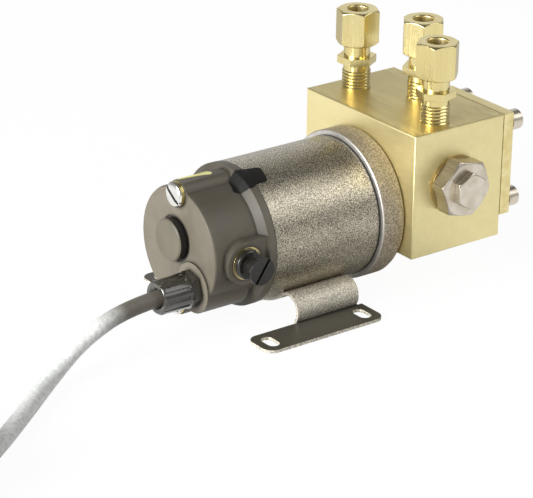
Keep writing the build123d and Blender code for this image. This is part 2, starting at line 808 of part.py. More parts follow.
with BuildPart() as plug_blank:
    with BuildSketch(Plane.XY.offset(block_y + washer_t)):
        RegularPolygon(hex_r(plug_hex_af), 6, rotation=48)
    extrude(amount=plug_hex_len)
    with BuildSketch(Plane.XZ):
        with BuildLine():
            Polyline(
                (0, block_y + washer_t),
                (hex_r(plug_hex_af) - 0.5, block_y + washer_t),
                (hex_r(plug_hex_af), block_y + washer_t + 0.5),
                (hex_r(plug_hex_af), plug_face - 1.4),
                (plug_hex_af / 2 - 0.6, plug_face),
                (0, plug_face),
                close=True,
            )
        make_face()
    revolve(axis=Axis.Z, mode=Mode.INTERSECT)
    with BuildSketch(Plane.XY.offset(plug_in_y)):
        Circle(plug_thread_r)
    extrude(amount=block_y + washer_t - plug_in_y)
    bore_z(plug_in_y, plug_face, 0, 0, plug_bore_r)

with BuildPart() as valve_plugs:
    with Locations(Location((gallery_x, 0, gallery_z), (90, 0, 0))):
        add(plug_blank.part)
    with Locations(Location((gallery_x, 0, gallery_z), (-90, 0, 0))):
        add(plug_blank.part)

with BuildPart() as plug_washers:
    for side in (1, -1):
        y0, y1 = sorted((side * block_y, side * (block_y + washer_t)))
        rod_y(y0, y1, gallery_x, gallery_z, washer_r)
        bore_y(y0, y1, gallery_x, gallery_z, plug_thread_r)

with BuildPart() as plug_cap_blank:
    with BuildSketch(Plane.XY.offset(plug_face)):
        RegularPolygon(hex_r(cap_hex_af), 6, rotation=28)
    extrude(amount=cap_hex_len)
    with BuildSketch(Plane.XZ):
        with BuildLine():
            Polyline(
                (0, plug_face),
                (hex_r(cap_hex_af), plug_face),
                (hex_r(cap_hex_af), plug_face + cap_hex_len - 0.9),
                (cap_hex_af / 2 - 0.4, plug_face + cap_hex_len),
                (0, plug_face + cap_hex_len),
                close=True,
            )
        make_face()
    revolve(axis=Axis.Z, mode=Mode.INTERSECT)
    with BuildSketch(Plane.XY.offset(spring_y1)):
        Circle(plug_bore_r)
    extrude(amount=plug_face - spring_y1)

with BuildPart() as plug_caps:
    with Locations(Location((gallery_x, 0, gallery_z), (90, 0, 0))):
        add(plug_cap_blank.part)
    with Locations(Location((gallery_x, 0, gallery_z), (-90, 0, 0))):
        add(plug_cap_blank.part)

# Relief balls and springs behind the cover plate
ball_x = relief_x0 + math.sqrt(relief_ball_r**2 - relief_seat_r**2) + 0.02
relief_spring_x = ball_x + math.sqrt(relief_ball_r**2 - relief_spring_in_r**2) + 0.02
with BuildPart() as relief_ball_near:
    with Locations((ball_x, relief_near_y, relief_near_z)):
        Sphere(relief_ball_r)

with BuildPart() as relief_ball_far:
    with Locations((ball_x, relief_far_y, relief_far_z)):
        Sphere(relief_ball_r)

with BuildPart() as relief_spring_near:
    rod_x(relief_spring_x, block_x1, relief_near_y, relief_near_z, relief_spring_r)
    bore_x(relief_spring_x, block_x1, relief_near_y, relief_near_z, relief_spring_in_r)

with BuildPart() as relief_spring_far:
    rod_x(relief_spring_x, block_x1, relief_far_y, relief_far_z, relief_spring_r)
    bore_x(relief_spring_x, block_x1, relief_far_y, relief_far_z, relief_spring_in_r)

# Cover plate with its seal and four socket screws
with BuildPart() as cover_plate:
    with BuildSketch(Plane.YZ.offset(block_x1)):
        with Locations((plate_y, plate_z)):
            Rectangle(plate_w, plate_h)
    extrude(amount=plate_t)
    chamfer(cover_plate.faces().sort_by(Axis.X)[-1].edges(), length=0.5)
    for sy in (1, -1):
        for sz in (1, -1):
            bore_x(
                block_x1, block_x1 + plate_t,
                plate_y + sy * plate_screw_y, plate_z + sz * plate_screw_z, 3.2,
            )

with BuildPart() as plate_seal:
    with BuildSketch(Plane.YZ.offset(block_x1)):
        with Locations((plate_y, plate_z)):
            RectangleRounded(groove_out, groove_out, pocket_corner_r + groove_gap + groove_w)
            RectangleRounded(groove_in, groove_in, pocket_corner_r + groove_gap, mode=Mode.SUBTRACT)
    extrude(amount=-groove_deep)

with BuildPart() as plate_screws:
    for sy in (1, -1):
        for sz in (1, -1):
            py = plate_y + sy * plate_screw_y
            pz = plate_z + sz * plate_screw_z
            rod_x(block_x1 - plate_screw_in, block_x1 + plate_t, py, pz, 3.0)
            rod_x(block_x1 + plate_t, block_x1 + plate_t + 6.0, py, pz, 5.0)
            with BuildSketch(Plane.YZ.offset(block_x1 + plate_t + 6.0)):
                with Locations((py, pz)):
                    RegularPolygon(hex_r(5.0), 6)
            extrude(amount=-3.0, mode=Mode.SUBTRACT)

# Tube fittings: bodies, olives and nuts
body_z = block_z1 + fitting_stand
neck_z = body_z + fitting_hex_len
nut_z = neck_z + fitting_neck_len
nut_top = nut_z + nut_len
olive_z = nut_z + 9.7
fittings = [
    (port_x, port_y, 8, 30),
    (return_x, 0, 51, 35),
    (port_x, -port_y, 41.5, 15),
]

with BuildPart() as fitting_body_blank:
    with BuildSketch(Plane.XY.offset(block_z1 - fitting_thread_in)):
        Circle(fitting_thread_r)
    extrude(amount=fitting_thread_in + fitting_stand)
    with BuildSketch(Plane.XY.offset(body_z)):
        RegularPolygon(hex_r(fitting_hex_af), 6)
    extrude(amount=fitting_hex_len)
    with BuildSketch(Plane.XY.offset(neck_z)):
        Circle(fitting_neck_r)
    extrude(amount=olive_z - neck_z)
    bore_z(block_z1 - fitting_thread_in, olive_z, 0, 0, fitting_bore_r)
    bore_z(olive_z - 8.0, olive_z, 0, 0, fitted_tube_r)

with BuildPart() as fitting_nut_blank:
    with BuildSketch(Plane.XY.offset(nut_z)):
        RegularPolygon(hex_r(nut_af), 6)
    extrude(amount=nut_len)
    with BuildSketch(Plane.XZ):
        with BuildLine():
            Polyline(
                (0, nut_z),
                (nut_af / 2 - 0.3, nut_z),
                (hex_r(nut_af), nut_z + 1.1),
                (hex_r(nut_af), nut_top - 1.1),
                (nut_af / 2 - 0.3, nut_top),
                (0, nut_top),
                close=True,
            )
        make_face()
    revolve(axis=Axis.Z, mode=Mode.INTERSECT)
    bore_z(nut_z, olive_z + 3.0, 0, 0, fitting_neck_r)
    bore_z(olive_z, nut_top, 0, 0, fitted_tube_r)
    mouth = fitting_nut_blank.faces().sort_by(Axis.Z)[-1].edges().filter_by(GeomType.CIRCLE)
    chamfer(mouth.sort_by(SortBy.RADIUS)[0], 0.5)

with BuildPart() as fitting_bodies:
    for x, y, nut_turn, body_turn in fittings:
        with Locations(Location((x, y, 0), (0, 0, body_turn))):
            add(fitting_body_blank.part)

with BuildPart() as fitting_nuts:
    for x, y, nut_turn, body_turn in fittings:
        with Locations(Location((x, y, 0), (0, 0, nut_turn))):
            add(fitting_nut_blank.part)

with BuildPart() as fitting_olives:
    for x, y, nut_turn, body_turn in fittings:
        with BuildSketch(Plane.XY.offset(olive_z)):
            with Locations((x, y)):
                Circle(fitting_neck_r)
                Circle(fitted_tube_r, mode=Mode.SUBTRACT)
        extrude(amount=3.0)

# Cord gland
gland_x0 = cover_x0 - boss_proud
gland_x1 = gland_x0 - gland_hex_len
gland_x2 = gland_x1 - gland_nut_len
with BuildPart() as gland_body:
    rod_x(gland_x0, cover_x0 + gland_stub_len, gland_y, gland_z, gland_stub_r)
    with BuildSketch(Plane.YZ.offset(gland_x1)):
        with Locations((gland_y, gland_z)):
            RegularPolygon(hex_r(gland_hex_af), 6, rotation=12)
    extrude(amount=gland_x0 - gland_x1)
    rod_x(gland_x1 - 6.0, gland_x1, gland_y, gland_z, 6.6)
    bore_x(gland_x1 - 6.0, cord_in_x, gland_y, gland_z, cord_r)
    bore_x(cord_in_x, cover_x0 + gland_stub_len, gland_y, gland_z, lead_hole_r)

with BuildPart() as gland_nut:
    with BuildSketch(Plane.XZ.offset(-gland_y)):
        with BuildLine():
            Polyline(
                (gland_x1 - 0.3, gland_z),
                (gland_x1 - 0.3, gland_z + 8.6),
                (gland_x2 + 0.9, gland_z + 8.2),
                (gland_x2, gland_z + 7.4),
                (gland_x2, gland_z + cord_r + 1.6),
                (gland_x2 + 1.6, gland_z + cord_r),
                (gland_x2 + 1.6, gland_z),
                close=True,
            )
        make_face()
    revolve(axis=Axis((0, gland_y, gland_z), (1, 0, 0)))
    with BuildSketch(Plane.YZ.offset(gland_x2)):
        with Locations((gland_y, gland_z)):
            with PolarLocations(8.8, 12):
                Rectangle(2.0, 1.6)
    extrude(amount=gland_x1 - 2.0 - gland_x2, mode=Mode.SUBTRACT)
    bore_x(gland_x1 - 10.0, gland_x1, gland_y, gland_z, 6.6)
    bore_x(gland_x2, gland_x1, gland_y, gland_z, cord_r)

with BuildPart() as gland_seal:
    rod_x(gland_x1 - 10.0, gland_x1 - 6.0, gland_y, gland_z, 6.6)
    bore_x(gland_x1 - 10.0, gland_x1 - 6.0, gland_y, gland_z, cord_r)

# Cord: a straight start inside the gland, a sag to the floor and a run out of view
run_points = [
    Vector(cord_in_x, gland_y, gland_z),
    Vector(-83.5, gland_y, gland_z),
    Vector(-111.0, gland_y - 2.3, gland_z - 8.0),
    Vector(-134.0, -23.0, cord_r),
    Vector(-157.0, -42.0, cord_r),
    Vector(-184.7, -64.0, cord_r),
    Vector(-204.5, -78.0, cord_r),
    Vector(-224.5, -91.3, cord_r),
]
heading = Vector(math.cos(math.radians(211.5)), math.sin(math.radians(211.5)), 0)
right = Vector(heading.Y, -heading.X, 0)
half_step = math.pi / coil_points
vertex_r = coil_r / math.cos(half_step)
coil_entry = run_points[-1] + heading * 21.0
coil_axis = coil_entry - heading * (vertex_r * math.sin(half_step)) + right * coil_r
coil_centre = Vector(coil_axis.X, coil_axis.Y, 0)
coil_z0 = tie_t
coil_top = coil_z0 + coil_height
step_up_points = 4


def coil_vertex(k):
    """Corner k of the wound route: level turns, each stepped up onto the last."""
    turn = half_step * (2 * k + 1)
    spoke = heading * math.sin(turn) - right * math.cos(turn)
    level, along = divmod(k, coil_points)
    step_up = max(0, along - (coil_points - step_up_points)) / step_up_points
    height = coil_z0 + cord_r + 0.1 + coil_rise * (level + step_up)
    return coil_centre + spoke * vertex_r + Vector(0, 0, height)


coil_last = coil_turns * coil_points + 3
out_turn = half_step * (2 * coil_last + 2)
out = heading * math.cos(out_turn) + right * math.sin(out_turn)
lean = right * math.cos(out_turn) - heading * math.sin(out_turn)
sleeve_z = coil_top + sleeve_r
tail_points = [coil_vertex(k) for k in range(coil_last - 6, coil_last + 1)]
tail_mid = tail_points[-1] + out * 17.0 + lean * 2.0
tail_end = tail_mid + out * 14.0 + lean * 6.0
tail_points.append(Vector(tail_mid.X, tail_mid.Y, sleeve_z))
tail_points.append(Vector(tail_end.X, tail_end.Y, sleeve_z))


def corner_radii(points):
    """Largest neat arc at each inner corner of a route."""
    radii = []
    for a, b, c in zip(points, points[1:], points[2:]):
        before = (b - a).length
        after = (c - b).length
        bend = math.radians((b - a).get_angle(c - b))
        radii.append(0.45 * min(before, after) / math.tan(bend / 2))
    return radii


run_list = run_points + [coil_vertex(0)]
run_radii = corner_radii(run_list)
tail_radii = corner_radii(tail_points)
print("cord run radii", [round(r, 1) for r in run_radii])
print("cord tail radii", [round(r, 1) for r in tail_radii])

with BuildPart() as cord_run:
    with BuildLine() as run_path:
        FilletPolyline(*run_list, radius=run_radii)
    with BuildSketch(Plane(origin=run_list[0], z_dir=run_list[1] - run_list[0])):
        Circle(cord_r)
    sweep()

with BuildPart() as cord_tail:
    with BuildLine() as tail_path:
        FilletPolyline(*tail_points, radius=tail_radii)
    with BuildSketch(Plane(origin=tail_points[0], z_dir=tail_points[1] - tail_points[0])):
        Circle(cord_r)
    sweep()

section = math.pi * cord_r**2
for tube, path in ((cord_run, run_path), (cord_tail, tail_path)):
    length = sum(e.length for e in path.edges())
    print("cord length", round(length, 1), "volume ratio", round(tube.part.volume / (section * length), 4))
print("wound length", round((coil_last - 6) * 2 * vertex_r * math.sin(half_step), 1))

# The wound part of the cord as one ring of its outer shape
with BuildPart() as cord_coil:
    with BuildSketch(Plane(origin=coil_centre, x_dir=(1, 0, 0), z_dir=(0, -1, 0))):
        with Locations((coil_r, coil_z0 + coil_height / 2)):
            RectangleRounded(2 * cord_r + 0.4, coil_height, cord_r - 0.2)
    revolve(axis=Axis(coil_centre, (0, 0, 1)))

# Tie strap around the bundle
tie_turn = half_step * 16
tie_spoke = heading * math.sin(tie_turn) - right * math.cos(tie_turn)
tie_along = heading * math.cos(tie_turn) + right * math.sin(tie_turn)
tie_mid = coil_centre + tie_spoke * coil_r
tie_centre = Vector(tie_mid.X, tie_mid.Y, coil_z0 + coil_height / 2)
tie_w = 2 * cord_r + 0.4
with BuildPart() as coil_tie:
    with BuildSketch(Plane(origin=tie_centre - tie_along * 2.4, x_dir=tie_spoke, z_dir=tie_along)):
        RectangleRounded(tie_w + 2 * tie_t + 0.8, coil_height + 2 * tie_t, cord_r + tie_t)
        RectangleRounded(tie_w + 0.8, coil_height, cord_r, mode=Mode.SUBTRACT)
    extrude(amount=4.8)

# Far end of the cord on top of the coil: sleeve, two cores and two ring terminals
end_dir = tail_points[-1] - tail_points[-2]
end_dir = Vector(end_dir.X, end_dir.Y, 0).normalized()
end_side = Vector(-end_dir.Y, end_dir.X, 0)
end_at = Vector(tail_points[-1].X, tail_points[-1].Y, sleeve_z)
with BuildPart() as cord_sleeve:
    with BuildSketch(Plane(origin=end_at, x_dir=end_side, z_dir=end_dir)):
        Circle(sleeve_r)
    extrude(amount=sleeve_len)
    chamfer(cord_sleeve.edges().filter_by(GeomType.CIRCLE), 0.4)

core_z = coil_top + lug_r
core_at = end_at + end_dir * sleeve_len
core_start = Vector(core_at.X, core_at.Y, core_z)
swing = math.radians(38)
arc_r = coil_r
arc_centre = core_start - end_side * arc_r
with BuildPart() as cord_cores:
    for off in (lead_gap, -lead_gap):
        with BuildLine() as core_line:
            r = arc_r + off
            RadiusArc(
                arc_centre + end_side * r,
                arc_centre + (end_side * math.cos(swing) + end_dir * math.sin(swing)) * r,
                r,
            )
        with BuildSketch(Plane(origin=core_line.line @ 0, z_dir=core_line.line % 0)):
            Circle(lead_r)
        sweep()

lug_dir = end_dir * math.cos(swing) - end_side * math.sin(swing)
lug_side = end_side * math.cos(swing) + end_dir * math.sin(swing)
lug_at = arc_centre + lug_side * arc_r
lug_plane = Plane(origin=lug_at, x_dir=lug_side, z_dir=lug_dir)
lug_flat = Plane(origin=Vector(lug_at.X, lug_at.Y, coil_top), x_dir=lug_dir, z_dir=(0, 0, 1))
with BuildPart() as ring_terminals:
    with BuildSketch(lug_plane):
        with Locations((lead_gap, 0), (-lead_gap, 0)):
            Circle(lug_r)
    extrude(amount=6.0)
    with BuildSketch(lug_flat):
        for side in (1, -1):
            with Locations((lug_eye_x - 5.0, side * 2.6)):
                Rectangle(7.0, 3.4)
            with Locations((lug_eye_x, side * 4.4)):
                Circle(4.1)
                Circle(2.1, mode=Mode.SUBTRACT)
    extrude(amount=lug_t)

motor_tube.part.label = "motor_tube"
end_cover.part.label = "end_cover"
rear_cap.part.label = "rear_cap"
through_bolts.part.label = "through_bolts"
brush_sleeves.part.label = "brush_sleeves"
carbon_brushes.part.label = "carbon_brushes"
brush_springs.part.label = "brush_springs"
brush_caps.part.label = "brush_caps"
magnets.part.label = "magnets"
armature_core.part.label = "armature_core"
armature_windings.part.label = "armature_windings"
commutator.part.label = "commutator"
motor_shaft.part.label = "motor_shaft"
rear_bearing.part.label = "rear_bearing"
front_flange.part.label = "front_flange"
front_bearing.part.label = "front_bearing"
shaft_seal.part.label = "shaft_seal"
flange_seal.part.label = "flange_seal"
flange_screws.part.label = "flange_screws"
mounting_bracket.part.label = "mounting_bracket"
drive_gear.part.label = "drive_gear"
driven_gear.part.label = "driven_gear"
idler_pin.part.label = "idler_pin"
bush_plate.part.label = "bush_plate"
pump_block.part.label = "pump_block"
shuttle_piston.part.label = "shuttle_piston"
valve_seats.part.label = "valve_seats"
check_poppet_near.part.label = "check_poppet_near"
check_poppet_far.part.label = "check_poppet_far"
check_spring_near.part.label = "check_spring_near"
check_spring_far.part.label = "check_spring_far"
valve_plugs.part.label = "valve_plugs"
plug_washers.part.label = "plug_washers"
plug_caps.part.label = "plug_caps"
relief_ball_near.part.label = "relief_ball_near"
relief_ball_far.part.label = "relief_ball_far"
relief_spring_near.part.label = "relief_spring_near"
relief_spring_far.part.label = "relief_spring_far"
cover_plate.part.label = "cover_plate"
plate_seal.part.label = "plate_seal"
plate_screws.part.label = "plate_screws"
fitting_bodies.part.label = "fitting_bodies"
fitting_nuts.part.label = "fitting_nuts"
fitting_olives.part.label = "fitting_olives"
gland_body.part.label = "gland_body"
gland_nut.part.label = "gland_nut"
gland_seal.part.label = "gland_seal"
cord_run.part.label = "cord_run"
cord_coil.part.label = "cord_coil"
cord_tail.part.label = "cord_tail"
coil_tie.part.label = "coil_tie"
cord_sleeve.part.label = "cord_sleeve"
cord_cores.part.label = "cord_cores"
ring_terminals.part.label = "ring_terminals"

export_step(motor_tube.part, "parts/motor_tube.step")
export_step(end_cover.part, "parts/end_cover.step")
export_step(rear_cap.part, "parts/rear_cap.step")
export_step(through_bolts.part, "parts/through_bolts.step")
export_step(brush_sleeves.part, "parts/brush_sleeves.step")
export_step(carbon_brushes.part, "parts/carbon_brushes.step")
export_step(brush_springs.part, "parts/brush_springs.step")
export_step(brush_caps.part, "parts/brush_caps.step")
export_step(magnets.part, "parts/magnets.step")
export_step(armature_core.part, "parts/armature_core.step")
export_step(armature_windings.part, "parts/armature_windings.step")
export_step(commutator.part, "parts/commutator.step")
export_step(motor_shaft.part, "parts/motor_shaft.step")
export_step(rear_bearing.part, "parts/rear_bearing.step")
export_step(front_flange.part, "parts/front_flange.step")
export_step(front_bearing.part, "parts/front_bearing.step")
export_step(shaft_seal.part, "parts/shaft_seal.step")
export_step(flange_seal.part, "parts/flange_seal.step")
export_step(flange_screws.part, "parts/flange_screws.step")
export_step(mounting_bracket.part, "parts/mounting_bracket.step")
export_step(drive_gear.part, "parts/drive_gear.step")
export_step(driven_gear.part, "parts/driven_gear.step")
export_step(idler_pin.part, "parts/idler_pin.step")
export_step(bush_plate.part, "parts/bush_plate.step")
export_step(pump_block.part, "parts/pump_block.step")
export_step(shuttle_piston.part, "parts/shuttle_piston.step")
export_step(valve_seats.part, "parts/valve_seats.step")
export_step(check_poppet_near.part, "parts/check_poppet_near.step")
export_step(check_poppet_far.part, "parts/check_poppet_far.step")
export_step(check_spring_near.part, "parts/check_spring_near.step")
export_step(check_spring_far.part, "parts/check_spring_far.step")
export_step(valve_plugs.part, "parts/valve_plugs.step")
export_step(plug_washers.part, "parts/plug_washers.step")
export_step(plug_caps.part, "parts/plug_caps.step")
export_step(relief_ball_near.part, "parts/relief_ball_near.step")
export_step(relief_ball_far.part, "parts/relief_ball_far.step")
export_step(relief_spring_near.part, "parts/relief_spring_near.step")
export_step(relief_spring_far.part, "parts/relief_spring_far.step")
export_step(cover_plate.part, "parts/cover_plate.step")
export_step(plate_seal.part, "parts/plate_seal.step")
export_step(plate_screws.part, "parts/plate_screws.step")
export_step(fitting_bodies.part, "parts/fitting_bodies.step")
export_step(fitting_nuts.part, "parts/fitting_nuts.step")
export_step(fitting_olives.part, "parts/fitting_olives.step")
export_step(gland_body.part, "parts/gland_body.step")
export_step(gland_nut.part, "parts/gland_nut.step")
export_step(gland_seal.part, "parts/gland_seal.step")
export_step(cord_run.part, "parts/cord_run.step")
export_step(cord_coil.part, "parts/cord_coil.step")
export_step(cord_tail.part, "parts/cord_tail.step")
export_step(coil_tie.part, "parts/coil_tie.step")
export_step(cord_sleeve.part, "parts/cord_sleeve.step")
export_step(cord_cores.part, "parts/cord_cores.step")
export_step(ring_terminals.part, "parts/ring_terminals.step")
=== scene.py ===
"""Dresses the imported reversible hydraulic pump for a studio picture.

Every length is in metres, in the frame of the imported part: X runs along the motor towards
the pump block, Z is up and the near side of the picture is -Y.
"""

import logging
import math
from dataclasses import dataclass, field
from enum import Enum
from typing import Callable, Optional, Sequence, Union

import bmesh
import bpy
from mathutils import Matrix, Vector


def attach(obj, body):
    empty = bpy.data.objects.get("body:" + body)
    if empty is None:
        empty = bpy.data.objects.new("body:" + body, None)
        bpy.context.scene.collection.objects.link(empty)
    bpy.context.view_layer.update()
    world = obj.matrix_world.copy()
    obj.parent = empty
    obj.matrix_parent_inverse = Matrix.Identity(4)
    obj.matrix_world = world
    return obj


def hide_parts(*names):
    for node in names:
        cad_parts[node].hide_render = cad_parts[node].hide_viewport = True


logging.basicConfig(level=logging.INFO, format="%(message)s")
log = logging.getLogger("pump")

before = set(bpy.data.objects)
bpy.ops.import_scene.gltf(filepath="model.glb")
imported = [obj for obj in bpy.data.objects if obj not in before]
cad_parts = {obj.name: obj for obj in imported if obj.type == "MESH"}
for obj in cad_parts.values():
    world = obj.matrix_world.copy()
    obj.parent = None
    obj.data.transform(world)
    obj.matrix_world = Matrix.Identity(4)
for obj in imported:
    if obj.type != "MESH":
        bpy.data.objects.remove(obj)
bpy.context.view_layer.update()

Colour = tuple[float, float, float]
Point = tuple[float, float, float]
Pair = tuple[float, float]
Socket = bpy.types.NodeSocket
Material = bpy.types.Material
Item = bpy.types.Object
Face = bmesh.types.BMFace
FaceTest = Callable[[Face], bool]
Feed = Union[Socket, Colour, float]


class Body(Enum):
    """Body of the part that every dressed piece rides on."""

    UNIT = "pump_unit"


class Axis(Enum):
    """Directions along which a finish is drawn or a tool is turned."""

    X = (1.0, 0.0, 0.0)
    Y = (0.0, 1.0, 0.0)
    Z = (0.0, 0.0, 1.0)


def reach(across: float, up: float, centres: Sequence[Pair]) -> float:
    """Distance in one plane from a point to the nearest of some centres.

    Args:
        across: First coordinate of the point.
        up: Second coordinate of the point.
        centres: Coordinates of the centres in the same plane.

    Returns:
        The distance.
    """
    return min(math.hypot(across - a, up - b) for a, b in centres)


# --- Finishes ---


def scaled(colour: Colour, factor: float, lift: float = 0.0) -> Colour:
    """A darker or lighter kind of a colour, held at white."""
    return tuple(min(1.0, factor * c + lift) for c in colour)


class Nodes:
    """Node tree that is put together with short calls."""

    def __init__(self, owner: Union[Material, bpy.types.World], end: str) -> None:
        """Empty the owner's tree and add its output.

        Args:
            owner: The material or world.
            end: Kind of its output node.
        """
        owner.use_nodes = True
        self.tree = owner.node_tree
        self.tree.nodes.clear()
        self.output = self.add(end)

    def add(self, kind: str, **inputs: Feed) -> bpy.types.Node:
        """Add one node and feed its inputs.

        Args:
            kind: Its type without the leading ShaderNode.
            **inputs: Links or plain values by socket name, with underscores for spaces.

        Returns:
            The node.
        """
        node = self.tree.nodes.new("ShaderNode" + kind)
        self.feed_all(node, inputs)
        return node

    def feed(self, socket: Socket, value: Feed) -> None:
        """Link an input to an output, or set its plain value."""
        if isinstance(value, Socket):
            self.tree.links.new(value, socket)
        elif socket.type == "RGBA":
            socket.default_value = (*value, 1.0)
        else:
            socket.default_value = value

    def feed_all(self, node: bpy.types.Node, inputs: dict[str, Feed]) -> None:
        """Feed a node's inputs by their names."""
        for name, value in inputs.items():
            self.feed(node.inputs[name.replace("_", " ")], value)

    def end_with(self, socket: Socket) -> None:
        """Join a shader to the tree's output."""
        self.feed(self.output.inputs[0], socket)

    def place(self, scale: Point = (1.0, 1.0, 1.0)) -> Socket:
        """Object coordinates, stretched along each axis."""
        coords = self.add("TexCoord").outputs["Object"]
        return self.add("Mapping", Vector=coords, Scale=scale).outputs[0]

    def noise(self, vector: Socket, scale: float, detail: float, rough: float) -> Socket:
        """Cloudy noise between 0 and 1."""
        node = self.add("TexNoise", Vector=vector, Scale=scale, Detail=detail, Roughness=rough)
        return node.outputs[0]

    def cells(self, vector: Socket, scale: float, smooth: float) -> Socket:
        """Distance inside soft cells, as paint pools into."""
        node = self.add("TexVoronoi", Vector=vector, Scale=scale)
        node.feature = "SMOOTH_F1"
        node.inputs["Smoothness"].default_value = smooth
        return node.outputs["Distance"]

    def ramp(self, value: Socket, stops: Sequence[tuple[float, Colour]]) -> Socket:
        """Turn a value into a colour by its stops."""
        node = self.add("ValToRGB")
        elements = node.color_ramp.elements
        while len(elements) > 1:
            elements.remove(elements[-1])
        elements[0].position = stops[0][0]
        elements[0].color = (*stops[0][1], 1.0)
        for place, colour in stops[1:]:
            elements.new(place).color = (*colour, 1.0)
        self.feed(node.inputs[0], value)
        return node.outputs[0]

    def span(self, value: Socket, low: float, high: float, to_low: float, to_high: float) -> Socket:
        """Map a value from one range onto another, held at its ends."""
        node = self.add("MapRange", From_Min=low, From_Max=high, To_Min=to_low, To_Max=to_high)
        self.feed(node.inputs["Value"], value)
        return node.outputs[0]

    def mix(self, factor: Socket, first: Feed, second: Feed) -> Socket:
        """Mix two colours by a factor."""
        node = self.add("Mix")
        node.data_type = "RGBA"
        for index, value in ((0, factor), (6, first), (7, second)):
            self.feed(node.inputs[index], value)
        return node.outputs[2]

    def math(self, kind: str, first: Socket, second: Feed) -> Socket:
        """One sum of two values."""
        node = self.add("Math")
        node.operation = kind
        self.feed(node.inputs[0], first)
        self.feed(node.inputs[1], second)
        return node.outputs[0]

    def parts(self, vector: Socket) -> bpy.types.NodeOutputs:
        """The three single values of a vector."""
        return self.add("SeparateXYZ", Vector=vector).outputs

    def edge_wear(self) -> Socket:
        """Pointiness of the surface, high on outer edges."""
        return self.add("NewGeometry").outputs["Pointiness"]

    def facing_up(self) -> Socket:
        """How far the surface faces up."""
        return self.parts(self.add("NewGeometry").outputs["Normal"])[2]

    def nook(self, distance: float) -> Socket:
        """How open the surface is, low in corners and grooves."""
        node = self.add("AmbientOcclusion", Distance=distance)
        node.samples = 8
        return node.outputs["AO"]

    def bump(
        self, height: Socket, strength: float, distance: float, under: Optional[Socket] = None
    ) -> Socket:
        """Raise the surface by a height, on top of another bump where one is given."""
        node = self.add("Bump", Height=height, Strength=strength, Distance=distance)
        if under is not None:
            self.feed(node.inputs["Normal"], under)
        return node.outputs[0]


class Shader(Nodes):
    """Material with one Principled shader."""

    def __init__(self, name: str) -> None:
        """Start the material.

        Args:
            name: Name of the material.
        """
        self.material = bpy.data.materials.new(name)
        super().__init__(self.material, "OutputMaterial")
        self.surface = self.add("BsdfPrincipled")
        self.end_with(self.surface.outputs[0])


class Finish:
    """Kind of finish, which makes one material by its recipe."""

    name: str

    def recipe(self, shader: Shader, at: Socket) -> dict[str, Feed]:
        """Inputs of the shader.

        Args:
            shader: The shader, with the nodes that feed it.
            at: Object coordinates.

        Returns:
            Links or plain values by socket name, with underscores for spaces.
        """
        raise NotImplementedError

    def make(self) -> Material:
        """Make the material."""
        shader = Shader(self.name)
        shader.feed_all(shader.surface, self.recipe(shader, shader.place()))
        return shader.material


@dataclass(frozen=True)
class HammerPaint(Finish):
    """Speckled hammer-finish paint that pools into small shiny cells."""

    name: str
    dark: Colour
    light: Colour
    cell: float
    roughness: float
    metallic: float = 0.55
    depth: float = 0.00022
    stops: tuple[float, float, float] = (0.38, 0.55, 0.74)
    pool_weight: float = 0.6
    dust_weight: float = 0.55

    def recipe(self, shader: Shader, at: Socket) -> dict[str, Feed]:
        pools = shader.cells(at, 1 / self.cell, 0.25)
        dust = shader.noise(at, 0.9 / self.cell, 2.0, 0.6)
        clouds = shader.noise(at, 45.0, 3.0, 0.5)
        speckle = shader.math(
            "ADD",
            shader.math("MULTIPLY", pools, self.pool_weight),
            shader.math("MULTIPLY", dust, self.dust_weight),
        )
        middle = tuple((a + b) / 2 for a, b in zip(self.dark, self.light))
        paint = shader.ramp(speckle, list(zip(self.stops, (self.dark, middle, self.light))))
        tint = shader.span(clouds, 0.3, 0.7, 0.90, 1.08)
        pooled = shader.bump(pools, 0.55, self.depth)
        return dict(
            Base_Color=shader.mix(tint, (0.0, 0.0, 0.0), paint),
            Roughness=shader.span(pools, 0.1, 0.7, self.roughness - 0.08, self.roughness + 0.12),
            Metallic=self.metallic,
            Normal=shader.bump(dust, 0.35, self.depth * 0.6, pooled),
        )


@dataclass(frozen=True)
class SatinPaint(Finish):
    """Smooth satin paint over a casting, a little uneven, with pale edges of rubbed paint and painted
    highlight.

    It can darken towards the crown as painted shade, and its corners and grooves are painted dark as
    shade.
    """

    name: str
    base: Colour
    roughness: float = 0.42
    # Pale edges: partly rubbed paint, partly painted highlight
    rub_and_highlight: float = 0.5
    # crown: strength of the painted shade that darkens the paint where it faces up
    crown: float = 0.0
    sheen: float = 0.32
    orange_peel: float = 0.00005
    crown_facing: Pair = (0.35, 0.95)
    rub_and_highlight_edges: Pair = (0.52, 0.60)
    # Reach and range of the painted shade in corners and grooves
    nook_shade_reach: float = 0.0026
    nook_shade_open: Pair = (0.55, 0.96)

    def recipe(self, shader: Shader, at: Socket) -> dict[str, Feed]:
        clouds = shader.noise(at, 60.0, 4.0, 0.6)
        peel = shader.noise(at, 900.0, 2.0, 0.5)
        paint = shader.ramp(clouds, [(0.3, scaled(self.base, 0.86)), (0.7, scaled(self.base, 1.15))])
        # Painted shade: darker where the surface faces up, towards the crown
        crown_shade = shader.span(shader.facing_up(), *self.crown_facing, 0.0, self.crown)
        paint = shader.mix(crown_shade, paint, scaled(self.base, 0.5))
        # Pale edges from pointiness: rubbed paint and painted highlight
        rub_and_highlight = shader.span(shader.edge_wear(), *self.rub_and_highlight_edges, 0.0, self.rub_and_highlight)
        paint = shader.mix(rub_and_highlight, paint, scaled(self.base, 2.2, 0.02))
        # Painted shade: corners and grooves darkened by ambient occlusion
        nook_shade = shader.span(shader.nook(self.nook_shade_reach), *self.nook_shade_open, 1.0, 0.0)
        return dict(
            Base_Color=shader.mix(nook_shade, paint, scaled(self.base, 0.25)),
            Roughness=shader.span(clouds, 0.3, 0.7, self.roughness - 0.06, self.roughness + 0.08),
            Specular_IOR_Level=self.sheen,
            Normal=shader.bump(peel, 0.4, self.orange_peel),
        )


